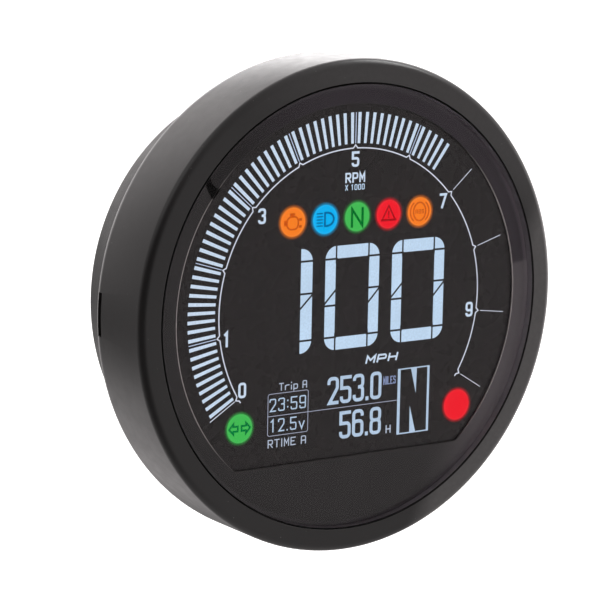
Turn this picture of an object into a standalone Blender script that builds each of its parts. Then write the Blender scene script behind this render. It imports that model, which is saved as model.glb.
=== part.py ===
"""Round digital instrument cluster for a motorcycle, modelled piece by piece.

The dial faces -Y, +Z is up and +X is to the rider's right. The origin is the centre of the
flat mounting pad on the back. Depths are measured back from the front face of the dial, and
depth_to_y turns a depth into a Y coordinate.
"""
import math

import bmesh
import bpy
from mathutils import Matrix

MM = 0.001
GAP = 0.3 * MM  # clearance between pieces that meet
BIG_STEPS = 64  # facets round the housing
INNER_STEPS = 48  # facets round the display stack
SMALL_STEPS = 16  # facets round screws, pipes and buttons
FEW_STEPS = 12  # facets round the smallest holes and pins
SHARP_ANGLE = math.radians(32)

# Housing ring, front to back
OVERALL_DEPTH = 38.3 * MM
BEZEL_RADIUS = 56.3 * MM
BEZEL_DEPTH = 21.1 * MM
BEZEL_FRONT_ROUND = 1.8 * MM
BEZEL_REAR_ROUND = 3.0 * MM
BEZEL_BORE = 48.4 * MM
REAR_BORE = 52.8 * MM
REAR_BORE_FRONT = 17.3 * MM

# Cover lens and the printed mask behind it
LENS_RADIUS = 50.75 * MM
LENS_BACK = 1.5 * MM
MASK_FRONT = LENS_BACK + GAP
MASK_BACK = MASK_FRONT + 0.3 * MM
WINDOW_RADIUS = 46.3 * MM
WINDOW_CHORD = -34.7 * MM
NOTCH_ANGLE = math.radians(142)
NOTCH_WIDTH = 2.4 * MM
SEAL_FRONT = MASK_BACK + GAP
SEAL_BACK = SEAL_FRONT + 0.4 * MM
LEDGE_FRONT = SEAL_BACK + GAP

# Display stack
GLASS_RADIUS = 47.6 * MM
GLASS_THICKNESS = 0.7 * MM
FRONT_GLASS_FRONT = MASK_BACK + GAP
FRONT_GLASS_CHORD = -41.0 * MM
REAR_GLASS_FRONT = FRONT_GLASS_FRONT + GLASS_THICKNESS + GAP
REAR_GLASS_CHORD = -36.9 * MM
STACK_FRONT = REAR_GLASS_FRONT + GLASS_THICKNESS + GAP
STACK_RADIUS = 46.5 * MM
STACK_CHORD = REAR_GLASS_CHORD
DIFFUSER_BACK = STACK_FRONT + 0.4 * MM
GUIDE_FRONT = DIFFUSER_BACK + GAP
GUIDE_BACK = GUIDE_FRONT + 3.0 * MM
HOLDER_RADIUS = 47.9 * MM
HOLDER_PLATE_FRONT = GUIDE_BACK + GAP
HOLDER_PLATE_BACK = HOLDER_PLATE_FRONT + 1.5 * MM
ZEBRA_LENGTH = 40.0 * MM
ZEBRA_WIDTH = 2.0 * MM
ZEBRA_Z = -39.0 * MM

# Indicator lamps: five in a row, and one at each lower corner
LAMP_PIPE_RADIUS = 3.9 * MM
LAMP_ROW_CENTRE = (1.4 * MM, 20.5 * MM)
LAMP_ROW_PITCH = 8.68 * MM
LAMP_LEFT = (-29.2 * MM, -24.9 * MM)
LAMP_RIGHT = (30.9 * MM, -26.0 * MM)
BACKLIGHT_PLACES = ((-14.0 * MM, 2.0 * MM), (14.0 * MM, 2.0 * MM))

# Circuit board and what it carries
PCB_RADIUS = 47.3 * MM
PCB_FRONT = 13.0 * MM
PCB_BACK = PCB_FRONT + 1.6 * MM
PCB_SCREW_CIRCLE = 43.0 * MM
PCB_SCREW_ANGLES = (30, 150, 235)
PCB_SCREW_SHANK = 1.0 * MM
PCB_SCREW_HEAD = 2.2 * MM
PCB_SCREW_HEAD_HEIGHT = 1.6 * MM
PCB_SCREW_HOLE = 1.5 * MM
BOSS_RADIUS = 2.6 * MM
BOSS_BORE = 1.3 * MM
PARTS_FRONT = PCB_BACK + GAP  # front of what is mounted on the back of the board
CHIPS = {  # width, height, thickness, x, z
    "microcontroller": (14.0 * MM, 14.0 * MM, 1.5 * MM, 0.0, 6.0 * MM),
    "lcd_driver": (18.0 * MM, 8.0 * MM, 1.4 * MM, 0.0, -14.0 * MM),
    "voltage_regulator": (7.0 * MM, 9.0 * MM, 2.4 * MM, 27.0 * MM, 8.0 * MM),
}
CAPACITOR_RADIUS = 4.0 * MM
CAPACITOR_HEIGHT = 10.0 * MM
CAPACITOR_PLACE = (29.0 * MM, 24.0 * MM)
CRYSTAL_SIZE = (10.0 * MM, 4.0 * MM, 3.5 * MM)
CRYSTAL_PLACE = (-24.0 * MM, 10.0 * MM)
LED_SIZE = 2.8 * MM
LED_HEIGHT = 1.2 * MM

# Rear case
FLANGE_RADIUS = 52.5 * MM
GASKET_THICKNESS = 0.8 * MM
FLANGE_FRONT = REAR_BORE_FRONT + GAP + GASKET_THICKNESS + GAP
FLANGE_BACK = FLANGE_FRONT + 2.0 * MM
CASE_RADIUS = 48.2 * MM
CASE_END_RADIUS = 47.9 * MM
CASE_BACK = 36.8 * MM
CASE_EDGE = 0.5 * MM
CASE_WALL = 2.5 * MM
PAD_RADIUS = 24.0 * MM
CASE_SCREW_CIRCLE = 50.6 * MM
CASE_SCREW_ANGLES = (45, 135, 225, 315)
CASE_SCREW_TIP = 12.0 * MM
CASE_SCREW_SHANK = 1.1 * MM
CASE_SCREW_HOLE = 1.4 * MM
CASE_SCREW_HEAD = 1.9 * MM
CASE_SCREW_HEAD_HEIGHT = 1.5 * MM
CASE_SCREW_SOCKET = 0.9 * MM
CASE_SCREW_SOCKET_DEPTH = 1.0 * MM
INSERT_CIRCLE = 18.0 * MM
INSERT_ANGLES = (90, 210, 330)
INSERT_RADIUS = 3.5 * MM
INSERT_BORE = 2.1 * MM
INSERT_LENGTH = 6.7 * MM
INSERT_BOSS_RADIUS = 5.6 * MM
INSERT_BOSS_FLOOR = 2.4 * MM

# Connector
CONNECTOR_Z = -35.0 * MM
CONNECTOR_SIZE = (26.0 * MM, 12.0 * MM)
CONNECTOR_WALL = 1.5 * MM
CONNECTOR_FRONT = 21.0 * MM
CONNECTOR_FLOOR = 23.5 * MM
CONNECTOR_BACK = 38.1 * MM
CONNECTOR_LIP = 1.5 * MM
PIN_SIZE = 1.2 * MM
PIN_PITCH = 6.0 * MM
PIN_COUNT = 4
PIN_TIP = 32.0 * MM

# Push buttons on the back: "select" on the left, "adjust" on the right, seen from the front
BUTTON_PLACES = {"select": (-28.0 * MM, -24.0 * MM), "adjust": (28.0 * MM, -24.0 * MM)}
BUTTON_RADIUS = 4.2 * MM
BUTTON_BACK = 38.0 * MM
BUTTON_EDGE = 0.6 * MM
BUTTON_BORE = BUTTON_RADIUS + 0.4 * MM
GUIDE_TUBE_RADIUS = 6.6 * MM
GUIDE_TUBE_FRONT = 28.0 * MM
BUTTON_FLANGE_RADIUS = 5.6 * MM
BUTTON_FLANGE_BACK = GUIDE_TUBE_FRONT - GAP
BUTTON_FLANGE_FRONT = BUTTON_FLANGE_BACK - 1.2 * MM
BUTTON_STEM_RADIUS = 1.6 * MM
BUTTON_STEM_FRONT = 20.2 * MM
GROOVE_FRONT = 30.4 * MM
GROOVE_BACK = 32.4 * MM
GROOVE_RADIUS = 3.0 * MM
ORING_RADIUS = 4.3 * MM
SWITCH_SIZE = 6.0 * MM
SWITCH_FRONT = PCB_BACK + GAP
SWITCH_BACK = SWITCH_FRONT + 3.5 * MM
SWITCH_BORE_FLOOR = SWITCH_FRONT + 1.0 * MM
PLUNGER_RADIUS = 1.7 * MM
PLUNGER_FRONT = SWITCH_BORE_FLOOR + 1.1 * MM
PLUNGER_BACK = BUTTON_STEM_FRONT - GAP

VENT_PLACE = (0.0, 35.0 * MM)
VENT_RADIUS = 3.2 * MM
VENT_CAP_RADIUS = 5.0 * MM
VENT_CAP_THICKNESS = 0.9 * MM

BLACK_PAINT = (0.018, 0.017, 0.018)
BLACK_PLASTIC = (0.022, 0.022, 0.024)
BLACK_RUBBER = (0.012, 0.012, 0.012)
WHITE_PLASTIC = (0.80, 0.80, 0.78)
STEEL = (0.56, 0.55, 0.53)
BRASS = (0.72, 0.53, 0.24)
BOARD_GREEN = (0.02, 0.13, 0.05)
CHIP_BLACK = (0.03, 0.03, 0.03)
LAMP_COLOURS = ((1.0, 0.30, 0.02), (0.0, 0.36, 0.85), (0.05, 0.45, 0.07), (0.85, 0.01, 0.02),
                (1.0, 0.30, 0.02), (0.05, 0.45, 0.07), (0.85, 0.01, 0.02))


def depth_to_y(depth):
    return depth - OVERALL_DEPTH


def polar(radius, degrees):
    angle = math.radians(degrees)
    return radius * math.cos(angle), radius * math.sin(angle)


def round_corner(centre, radius, start, end, steps=3):
    """Points (radius, depth) along an arc of the section, with angles in degrees."""
    points = []
    for step in range(steps + 1):
        angle = math.radians(start + (end - start) * step / steps)
        points.append((centre[0] + radius * math.cos(angle), centre[1] + radius * math.sin(angle)))
    return points


def turned(profile, steps):
    """A solid turned about the Y axis from the (radius, depth) points of its section."""
    bm = bmesh.new()
    verts = [bm.verts.new((radius, depth_to_y(depth), 0.0)) for radius, depth in profile]
    pairs = list(zip(verts, verts[1:]))
    reaches_axis = min(radius for radius, _ in profile) == 0.0
    if not reaches_axis:
        pairs.append((verts[-1], verts[0]))
    edges = [bm.edges.new(pair) for pair in pairs]
    bmesh.ops.spin(bm, geom=verts + edges, cent=(0, 0, 0), axis=(0, 1, 0), dvec=(0, 0, 0),
                   angle=math.tau, steps=steps, use_merge=True)
    bmesh.ops.remove_doubles(bm, verts=bm.verts, dist=0.001 * MM)
    bmesh.ops.recalc_face_normals(bm, faces=bm.faces)
    return bm


def cylinder(radius, front, back, steps=SMALL_STEPS):
    return turned([(0.0, front), (radius, front), (radius, back), (0.0, back)], steps)


def extruded(outline, front, back):
    """A plate with an outline of (x, z) points, between two depths."""
    bm = bmesh.new()
    verts = [bm.verts.new((x, depth_to_y(front), z)) for x, z in outline]
    face = bm.faces.new(verts)
    moved = bmesh.ops.extrude_face_region(bm, geom=[face])["geom"]
    new_verts = [item for item in moved if isinstance(item, bmesh.types.BMVert)]
    bmesh.ops.translate(bm, vec=(0, back - front, 0), verts=new_verts)
    bmesh.ops.recalc_face_normals(bm, faces=bm.faces)
    return bm


def rectangle(width, height, centre=(0.0, 0.0)):
    half_width, half_height = width / 2, height / 2
    corners = ((-1, -1), (1, -1), (1, 1), (-1, 1))
    return [(centre[0] + i * half_width, centre[1] + k * half_height) for i, k in corners]


def box(width, height, front, back, centre=(0.0, 0.0)):
    return extruded(rectangle(width, height, centre), front, back)


def round_with_chord(radius, chord, steps):
    """Outline of a disc whose lower edge is cut off straight at z = chord."""
    start = math.asin(chord / radius)
    end = math.pi - start
    points = []
    for step in range(steps + 1):
        angle = start + (end - start) * step / steps
        points.append((radius * math.cos(angle), radius * math.sin(angle)))
    return points


def moved(bm, x, z):
    bmesh.ops.translate(bm, vec=(x, 0.0, z), verts=bm.verts)
    return bm


def joined(pieces):
    """One bmesh that holds several separate closed shapes, for a cutter."""
    together = bmesh.new()
    for piece in pieces:
        mesh = bpy.data.meshes.new("scrap")
        piece.to_mesh(mesh)
        piece.free()
        together.from_mesh(mesh)
        bpy.data.meshes.remove(mesh)
    return together


def link(name, bm, place=(0.0, 0.0)):
    mesh = bpy.data.meshes.new(name)
    bm.to_mesh(mesh)
    bm.free()
    mesh.shade_smooth()
    mesh.set_sharp_from_angle(angle=SHARP_ANGLE)
    item = bpy.data.objects.new(name, mesh)
    item.location = (place[0], 0.0, place[1])
    bpy.context.collection.objects.link(item)
    return item


def part(name, bm, colour, roughness, metallic=0.0, place=(0.0, 0.0)):
    """A named sub-part with its own material."""
    item = link(name, bm, place)
    material = bpy.data.materials.new(name)
    material.use_nodes = True
    shader = material.node_tree.nodes["Principled BSDF"]
    shader.inputs["Base Color"].default_value = (*colour, 1.0)
    shader.inputs["Roughness"].default_value = roughness
    shader.inputs["Metallic"].default_value = metallic
    item.data.materials.append(material)
    return item


def combine(target, operation, bm, label):
    """Cuts a shape from a part, or adds it, and keeps the tool as a hidden guide."""
    tool = link(f"{target.name}_{label}", bm)
    tool.hide_render = True
    tool.display_type = "WIRE"
    modifier = target.modifiers.new(label, "BOOLEAN")
    modifier.operation = operation
    modifier.solver = "EXACT"
    modifier.object = tool


def lamp_places():
    row_x, row_z = LAMP_ROW_CENTRE
    row = [(row_x + index * LAMP_ROW_PITCH, row_z) for index in range(-2, 3)]
    return row + [LAMP_LEFT, LAMP_RIGHT]


def holes(places, radius, front, back, steps=SMALL_STEPS):
    return joined([moved(cylinder(radius, front, back, steps), x, z) for x, z in places])


def make_bezel():
    front_round = round_corner((BEZEL_RADIUS - BEZEL_FRONT_ROUND, BEZEL_FRONT_ROUND),
                               BEZEL_FRONT_ROUND, 0, -90)
    rear_round = round_corner((BEZEL_RADIUS - BEZEL_REAR_ROUND, BEZEL_DEPTH - BEZEL_REAR_ROUND),
                              BEZEL_REAR_ROUND, 90, 0)
    profile = [(LENS_RADIUS + GAP, 0.0), (LENS_RADIUS + GAP, LEDGE_FRONT), (BEZEL_BORE, LEDGE_FRONT),
               (BEZEL_BORE, REAR_BORE_FRONT), (REAR_BORE, REAR_BORE_FRONT), (REAR_BORE, BEZEL_DEPTH)]
    bezel = part("bezel", turned(profile + rear_round + front_round, BIG_STEPS),
                 BLACK_PAINT, 0.42)
    places = [polar(CASE_SCREW_CIRCLE, angle) for angle in CASE_SCREW_ANGLES]
    combine(bezel, "DIFFERENCE", holes(places, CASE_SCREW_HOLE, CASE_SCREW_TIP - 1.0 * MM,
                                       REAR_BORE_FRONT + 1.0 * MM), "screw_holes")


def make_lens_and_mask():
    edge = 0.2 * MM
    lens_profile = [(0.0, 0.0), (LENS_RADIUS - edge, 0.0), (LENS_RADIUS, edge),
                    (LENS_RADIUS, LENS_BACK), (0.0, LENS_BACK)]
    part("lens", turned(lens_profile, BIG_STEPS), (0.9, 0.9, 0.92), 0.05)

    mask = part("dial_mask", cylinder(LENS_RADIUS, MASK_FRONT, MASK_BACK, BIG_STEPS),
                (0.03, 0.025, 0.03), 0.25)
    window = extruded(round_with_chord(WINDOW_RADIUS, WINDOW_CHORD, INNER_STEPS),
                      MASK_FRONT - MM, MASK_BACK + MM)
    combine(mask, "DIFFERENCE", window, "window")
    notch_reach = 2.6 * MM
    notch = box(notch_reach + 2 * MM, NOTCH_WIDTH, MASK_FRONT - MM, MASK_BACK + MM,
                (WINDOW_RADIUS + notch_reach / 2 - MM, 0.0))
    bmesh.ops.rotate(notch, verts=notch.verts, cent=(0, 0, 0),
                     matrix=Matrix.Rotation(-NOTCH_ANGLE, 3, "Y"))
    combine(mask, "DIFFERENCE", notch, "notch")

    seal_profile = [(BEZEL_BORE + 0.5 * MM, SEAL_FRONT), (LENS_RADIUS, SEAL_FRONT),
                    (LENS_RADIUS, SEAL_BACK), (BEZEL_BORE + 0.5 * MM, SEAL_BACK)]
    part("lens_seal", turned(seal_profile, INNER_STEPS), BLACK_RUBBER, 0.7)


def make_display():
    front_outline = round_with_chord(GLASS_RADIUS, FRONT_GLASS_CHORD, INNER_STEPS)
    rear_outline = round_with_chord(GLASS_RADIUS, REAR_GLASS_CHORD, INNER_STEPS)
    stack_outline = round_with_chord(STACK_RADIUS, STACK_CHORD, INNER_STEPS)
    part("lcd_front_glass",
         extruded(front_outline, FRONT_GLASS_FRONT, FRONT_GLASS_FRONT + GLASS_THICKNESS),
         (0.02, 0.02, 0.022), 0.2)
    part("lcd_rear_glass",
         extruded(rear_outline, REAR_GLASS_FRONT, REAR_GLASS_FRONT + GLASS_THICKNESS),
         (0.05, 0.05, 0.055), 0.1)
    diffuser = part("backlight_diffuser", extruded(stack_outline, STACK_FRONT, DIFFUSER_BACK),
                    WHITE_PLASTIC, 0.6)
    guide = part("light_guide", extruded(stack_outline, GUIDE_FRONT, GUIDE_BACK),
                 (0.85, 0.88, 0.90), 0.1)
    for sheet, label in ((diffuser, "diffuser"), (guide, "guide")):
        combine(sheet, "DIFFERENCE", holes(lamp_places(), LAMP_PIPE_RADIUS + GAP,
                                           STACK_FRONT - MM, GUIDE_BACK + MM), f"{label}_lamps")


def make_holder():
    rim = STACK_RADIUS + GAP
    profile = [(0.0, HOLDER_PLATE_FRONT), (rim, HOLDER_PLATE_FRONT), (rim, STACK_FRONT),
               (HOLDER_RADIUS, STACK_FRONT), (HOLDER_RADIUS, HOLDER_PLATE_BACK),
               (0.0, HOLDER_PLATE_BACK)]
    holder = part("lcd_holder", turned(profile, INNER_STEPS), WHITE_PLASTIC, 0.5)
    screw_places = [polar(PCB_SCREW_CIRCLE, angle) for angle in PCB_SCREW_ANGLES]
    combine(holder, "UNION", holes(screw_places, BOSS_RADIUS, HOLDER_PLATE_BACK - 0.5 * MM,
                                   PCB_FRONT - GAP, FEW_STEPS), "bosses")
    combine(holder, "DIFFERENCE", holes(screw_places, BOSS_BORE, HOLDER_PLATE_BACK - 0.2 * MM,
                                        PCB_FRONT + MM, FEW_STEPS), "boss_holes")
    combine(holder, "DIFFERENCE", holes(lamp_places(), LAMP_PIPE_RADIUS + GAP,
                                        HOLDER_PLATE_FRONT - MM, HOLDER_PLATE_BACK + MM), "lamps")
    slot = box(ZEBRA_LENGTH + 2 * GAP, ZEBRA_WIDTH + 2 * GAP, HOLDER_PLATE_FRONT - MM,
               HOLDER_PLATE_BACK + MM, (0.0, ZEBRA_Z))
    combine(holder, "DIFFERENCE", slot, "zebra_slot")

    zebra_front = REAR_GLASS_FRONT
    part("zebra_strip", box(ZEBRA_LENGTH, ZEBRA_WIDTH, zebra_front, PCB_FRONT - GAP, (0.0, ZEBRA_Z)),
         (0.25, 0.25, 0.27), 0.6)


def make_lamps():
    led_back = PCB_FRONT - GAP
    led_front = led_back - LED_HEIGHT
    for index, (place, colour) in enumerate(zip(lamp_places(), LAMP_COLOURS), start=1):
        part(f"lamp_pipe_{index}", cylinder(LAMP_PIPE_RADIUS, STACK_FRONT, led_front - GAP),
             colour, 0.2, place=place)
        part(f"lamp_led_{index}", box(LED_SIZE, LED_SIZE, led_front, led_back),
             (0.85, 0.84, 0.78), 0.4, place=place)
    for index, place in enumerate(BACKLIGHT_PLACES, start=1):
        part(f"backlight_led_{index}", box(LED_SIZE, LED_SIZE, led_front, led_back),
             (0.9, 0.9, 0.7), 0.4, place=place)


def make_board():
    pcb = part("pcb", cylinder(PCB_RADIUS, PCB_FRONT, PCB_BACK, INNER_STEPS), BOARD_GREEN, 0.35)
    screw_places = [polar(PCB_SCREW_CIRCLE, angle) for angle in PCB_SCREW_ANGLES]
    combine(pcb, "DIFFERENCE", holes(screw_places, PCB_SCREW_HOLE, PCB_FRONT - MM,
                                     PCB_BACK + MM, FEW_STEPS), "screw_holes")
    for name, (width, height, thickness, x, z) in CHIPS.items():
        part(name, box(width, height, PARTS_FRONT, PARTS_FRONT + thickness), CHIP_BLACK, 0.5,
             place=(x, z))
    part("power_capacitor", cylinder(CAPACITOR_RADIUS, PARTS_FRONT,
                                     PARTS_FRONT + CAPACITOR_HEIGHT),
         (0.45, 0.46, 0.48), 0.3, 0.8, CAPACITOR_PLACE)
    width, height, thickness = CRYSTAL_SIZE
    part("clock_crystal", box(width, height, PARTS_FRONT, PARTS_FRONT + thickness),
         (0.7, 0.7, 0.7), 0.25, 1.0, CRYSTAL_PLACE)

    tip, head_back = HOLDER_PLATE_BACK + 0.4 * MM, PARTS_FRONT + PCB_SCREW_HEAD_HEIGHT
    head_edge = 0.5 * MM
    profile = [(0.0, tip), (PCB_SCREW_SHANK, tip), (PCB_SCREW_SHANK, PARTS_FRONT),
               (PCB_SCREW_HEAD, PARTS_FRONT), (PCB_SCREW_HEAD, head_back - head_edge),
               (PCB_SCREW_HEAD - head_edge, head_back), (0.0, head_back)]
    for index, place in enumerate(screw_places, start=1):
        part(f"board_screw_{index}", turned(profile, FEW_STEPS), STEEL, 0.3, 1.0, place)


def make_rear_case():
    inside_back = CASE_BACK - CASE_WALL
    outer = [(FLANGE_RADIUS, FLANGE_FRONT), (FLANGE_RADIUS, FLANGE_BACK), (CASE_RADIUS, FLANGE_BACK),
             (CASE_END_RADIUS, CASE_BACK - CASE_EDGE), (CASE_END_RADIUS - CASE_EDGE, CASE_BACK),
             (PAD_RADIUS, CASE_BACK), (PAD_RADIUS - CASE_EDGE, OVERALL_DEPTH), (0.0, OVERALL_DEPTH)]
    inner = [(0.0, inside_back), (CASE_END_RADIUS - CASE_WALL, inside_back),
             (CASE_RADIUS - CASE_WALL, FLANGE_FRONT)]
    case = part("rear_case", turned(inner + outer, BIG_STEPS), BLACK_PLASTIC, 0.5)

    insert_places = [polar(INSERT_CIRCLE, angle) for angle in INSERT_ANGLES]
    button_places = list(BUTTON_PLACES.values())
    overlap = 0.5 * MM
    boss_front = OVERALL_DEPTH - INSERT_LENGTH - INSERT_BOSS_FLOOR
    combine(case, "UNION", holes(insert_places, INSERT_BOSS_RADIUS, boss_front,
                                 inside_back + overlap), "insert_bosses")
    combine(case, "UNION", holes(button_places, GUIDE_TUBE_RADIUS, GUIDE_TUBE_FRONT,
                                 inside_back + overlap), "button_tubes")
    combine(case, "DIFFERENCE", holes(insert_places, INSERT_RADIUS + GAP,
                                      OVERALL_DEPTH - INSERT_LENGTH - GAP, OVERALL_DEPTH + MM),
            "insert_pockets")
    combine(case, "DIFFERENCE", holes(button_places, BUTTON_BORE, GUIDE_TUBE_FRONT - MM,
                                      CASE_BACK + MM), "button_bores")
    width, height = CONNECTOR_SIZE
    combine(case, "DIFFERENCE", box(width + 2 * GAP, height + 2 * GAP, inside_back - MM,
                                    CASE_BACK + MM, (0.0, CONNECTOR_Z)), "connector_opening")
    combine(case, "DIFFERENCE", holes([VENT_PLACE], VENT_RADIUS + GAP, inside_back - MM,
                                      CASE_BACK + MM), "vent_hole")
    screw_places = [polar(CASE_SCREW_CIRCLE, angle) for angle in CASE_SCREW_ANGLES]
    combine(case, "DIFFERENCE", holes(screw_places, CASE_SCREW_HOLE, FLANGE_FRONT - MM,
                                      FLANGE_BACK + MM), "screw_holes")


def make_case_fittings():
    gasket_front = REAR_BORE_FRONT + GAP
    gasket_back = gasket_front + GASKET_THICKNESS
    profile = [(BEZEL_BORE + GAP, gasket_front), (FLANGE_RADIUS, gasket_front),
               (FLANGE_RADIUS, gasket_back), (BEZEL_BORE + GAP, gasket_back)]
    gasket = part("case_gasket", turned(profile, INNER_STEPS), BLACK_RUBBER, 0.8)
    screw_places = [polar(CASE_SCREW_CIRCLE, angle) for angle in CASE_SCREW_ANGLES]
    combine(gasket, "DIFFERENCE", holes(screw_places, CASE_SCREW_HOLE, gasket_front - MM,
                                        gasket_back + MM), "screw_holes")

    head_front, head_edge = FLANGE_BACK + GAP, 0.3 * MM
    head_back = head_front + CASE_SCREW_HEAD_HEIGHT
    socket_floor = head_back - CASE_SCREW_SOCKET_DEPTH
    profile = [(0.0, CASE_SCREW_TIP), (CASE_SCREW_SHANK, CASE_SCREW_TIP),
               (CASE_SCREW_SHANK, head_front), (CASE_SCREW_HEAD, head_front),
               (CASE_SCREW_HEAD, head_back - head_edge), (CASE_SCREW_HEAD - head_edge, head_back),
               (CASE_SCREW_SOCKET, head_back), (CASE_SCREW_SOCKET, socket_floor),
               (0.0, socket_floor)]
    for index, place in enumerate(screw_places, start=1):
        part(f"case_screw_{index}", turned(profile, SMALL_STEPS), STEEL, 0.3, 1.0, place)

    for index, angle in enumerate(INSERT_ANGLES, start=1):
        front = OVERALL_DEPTH - INSERT_LENGTH
        profile = [(INSERT_BORE, front), (INSERT_RADIUS, front), (INSERT_RADIUS, OVERALL_DEPTH),
                   (INSERT_BORE + 0.4 * MM, OVERALL_DEPTH), (INSERT_BORE, OVERALL_DEPTH - 0.4 * MM)]
        part(f"thread_insert_{index}", turned(profile, SMALL_STEPS), BRASS, 0.3, 1.0,
             polar(INSERT_CIRCLE, angle))

    cap_front = CASE_BACK + GAP
    cap_back, cap_edge = cap_front + VENT_CAP_THICKNESS, 0.4 * MM
    vent_profile = [(0.0, CASE_BACK - CASE_WALL), (VENT_RADIUS, CASE_BACK - CASE_WALL),
                    (VENT_RADIUS, cap_front), (VENT_CAP_RADIUS, cap_front),
                    (VENT_CAP_RADIUS - cap_edge, cap_back), (0.0, cap_back)]
    part("vent_plug", turned(vent_profile, SMALL_STEPS), (0.05, 0.05, 0.05), 0.6, place=VENT_PLACE)


def pin_offsets():
    return [(index - (PIN_COUNT - 1) / 2) * PIN_PITCH for index in range(PIN_COUNT)]


def make_connector():
    width, height = CONNECTOR_SIZE
    centre = (0.0, CONNECTOR_Z)
    lip_front = CASE_BACK + GAP
    housing = part("connector_housing", box(width, height, CONNECTOR_FRONT, CONNECTOR_BACK, centre),
                   (0.03, 0.03, 0.032), 0.45)
    combine(housing, "UNION", box(width + 2 * CONNECTOR_LIP, height + 2 * CONNECTOR_LIP, lip_front,
                                  CONNECTOR_BACK, centre), "lip")
    combine(housing, "DIFFERENCE", box(width - 2 * CONNECTOR_WALL, height - 2 * CONNECTOR_WALL,
                                       CONNECTOR_FLOOR, CONNECTOR_BACK + MM, centre), "socket")
    sleeves = [box(PIN_SIZE + 2 * GAP, PIN_SIZE + 2 * GAP, CONNECTOR_FRONT - MM,
                   CONNECTOR_FLOOR + MM, (x, CONNECTOR_Z)) for x in pin_offsets()]
    combine(housing, "DIFFERENCE", joined(sleeves), "pin_holes")
    for index, x in enumerate(pin_offsets(), start=1):
        part(f"connector_pin_{index}", box(PIN_SIZE, PIN_SIZE, PCB_BACK + GAP, PIN_TIP),
             (0.80, 0.78, 0.70), 0.25, 1.0, (x, CONNECTOR_Z))


def make_buttons():
    for name, place in BUTTON_PLACES.items():
        button_profile = [
            (0.0, BUTTON_STEM_FRONT), (BUTTON_STEM_RADIUS, BUTTON_STEM_FRONT),
            (BUTTON_STEM_RADIUS, BUTTON_FLANGE_FRONT), (BUTTON_FLANGE_RADIUS, BUTTON_FLANGE_FRONT),
            (BUTTON_FLANGE_RADIUS, BUTTON_FLANGE_BACK), (BUTTON_RADIUS, BUTTON_FLANGE_BACK),
            (BUTTON_RADIUS, GROOVE_FRONT), (GROOVE_RADIUS, GROOVE_FRONT),
            (GROOVE_RADIUS, GROOVE_BACK), (BUTTON_RADIUS, GROOVE_BACK),
            (BUTTON_RADIUS, BUTTON_BACK - BUTTON_EDGE), (BUTTON_RADIUS - BUTTON_EDGE, BUTTON_BACK),
            (0.0, BUTTON_BACK)]
        part(f"button_{name}", turned(button_profile, SMALL_STEPS), (0.03, 0.03, 0.03), 0.5,
             place=place)
        inner, front, back = GROOVE_RADIUS + GAP, GROOVE_FRONT + GAP, GROOVE_BACK - GAP
        oring_profile = [(inner, front), (ORING_RADIUS, front), (ORING_RADIUS, back), (inner, back)]
        part(f"button_{name}_seal", turned(oring_profile, SMALL_STEPS), BLACK_RUBBER, 0.7,
             place=place)
        body = part(f"switch_{name}_body", box(SWITCH_SIZE, SWITCH_SIZE, SWITCH_FRONT, SWITCH_BACK,
                                               place), (0.05, 0.05, 0.05), 0.5)
        combine(body, "DIFFERENCE", holes([place], PLUNGER_RADIUS + GAP, SWITCH_BORE_FLOOR,
                                          SWITCH_BACK + MM), "bore")
        plunger = cylinder(PLUNGER_RADIUS, PLUNGER_FRONT, PLUNGER_BACK, FEW_STEPS)
        part(f"switch_{name}_plunger", plunger,
             (0.6, 0.1, 0.05), 0.5, place=place)


def main():
    for item in list(bpy.data.objects):
        bpy.data.objects.remove(item)
    make_bezel()
    make_lens_and_mask()
    make_display()
    make_holder()
    make_lamps()
    make_board()
    make_rear_case()
    make_case_fittings()
    make_connector()
    make_buttons()


main()
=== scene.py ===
"""Looks of a round digital instrument cluster for a motorcycle.

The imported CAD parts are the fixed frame: the dial faces -Y, +Z is up and +X is to the rider's
right. Sizes here are in millimetres unless a name says otherwise. A depth is measured back from
the front face of the dial, and a place on the dial is (x, z) from its centre.
"""
import math

import bmesh
import bpy
from mathutils import Matrix, Vector, geometry


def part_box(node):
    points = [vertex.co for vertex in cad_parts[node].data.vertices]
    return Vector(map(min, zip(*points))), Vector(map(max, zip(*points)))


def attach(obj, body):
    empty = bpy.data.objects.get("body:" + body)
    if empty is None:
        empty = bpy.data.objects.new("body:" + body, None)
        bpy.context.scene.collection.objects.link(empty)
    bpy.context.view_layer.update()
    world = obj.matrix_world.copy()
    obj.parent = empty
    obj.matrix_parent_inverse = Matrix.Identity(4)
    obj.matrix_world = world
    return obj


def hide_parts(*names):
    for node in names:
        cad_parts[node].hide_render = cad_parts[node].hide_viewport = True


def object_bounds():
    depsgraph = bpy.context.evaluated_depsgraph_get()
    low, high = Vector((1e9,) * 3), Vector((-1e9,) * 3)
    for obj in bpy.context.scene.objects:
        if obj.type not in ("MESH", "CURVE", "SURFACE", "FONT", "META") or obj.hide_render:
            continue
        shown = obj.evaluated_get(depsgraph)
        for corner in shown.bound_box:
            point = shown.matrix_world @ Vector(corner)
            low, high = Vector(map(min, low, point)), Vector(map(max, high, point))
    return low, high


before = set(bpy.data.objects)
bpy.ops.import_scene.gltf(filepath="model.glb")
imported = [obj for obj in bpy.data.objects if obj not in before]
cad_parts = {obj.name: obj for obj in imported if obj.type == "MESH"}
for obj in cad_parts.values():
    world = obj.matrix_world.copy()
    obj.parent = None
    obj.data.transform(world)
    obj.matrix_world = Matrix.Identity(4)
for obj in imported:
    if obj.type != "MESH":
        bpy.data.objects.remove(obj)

MM = 0.001
GAP = 0.3
CAD_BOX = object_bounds()  # metres
FRONT_Y = CAD_BOX[0].y  # metres
TURN_STEPS = 192  # facets round the housing
SMALL_STEPS = 64  # facets round screws, buttons and lamps
SHARP_ANGLE = math.radians(32)
NOTHING = 1e-6


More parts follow.
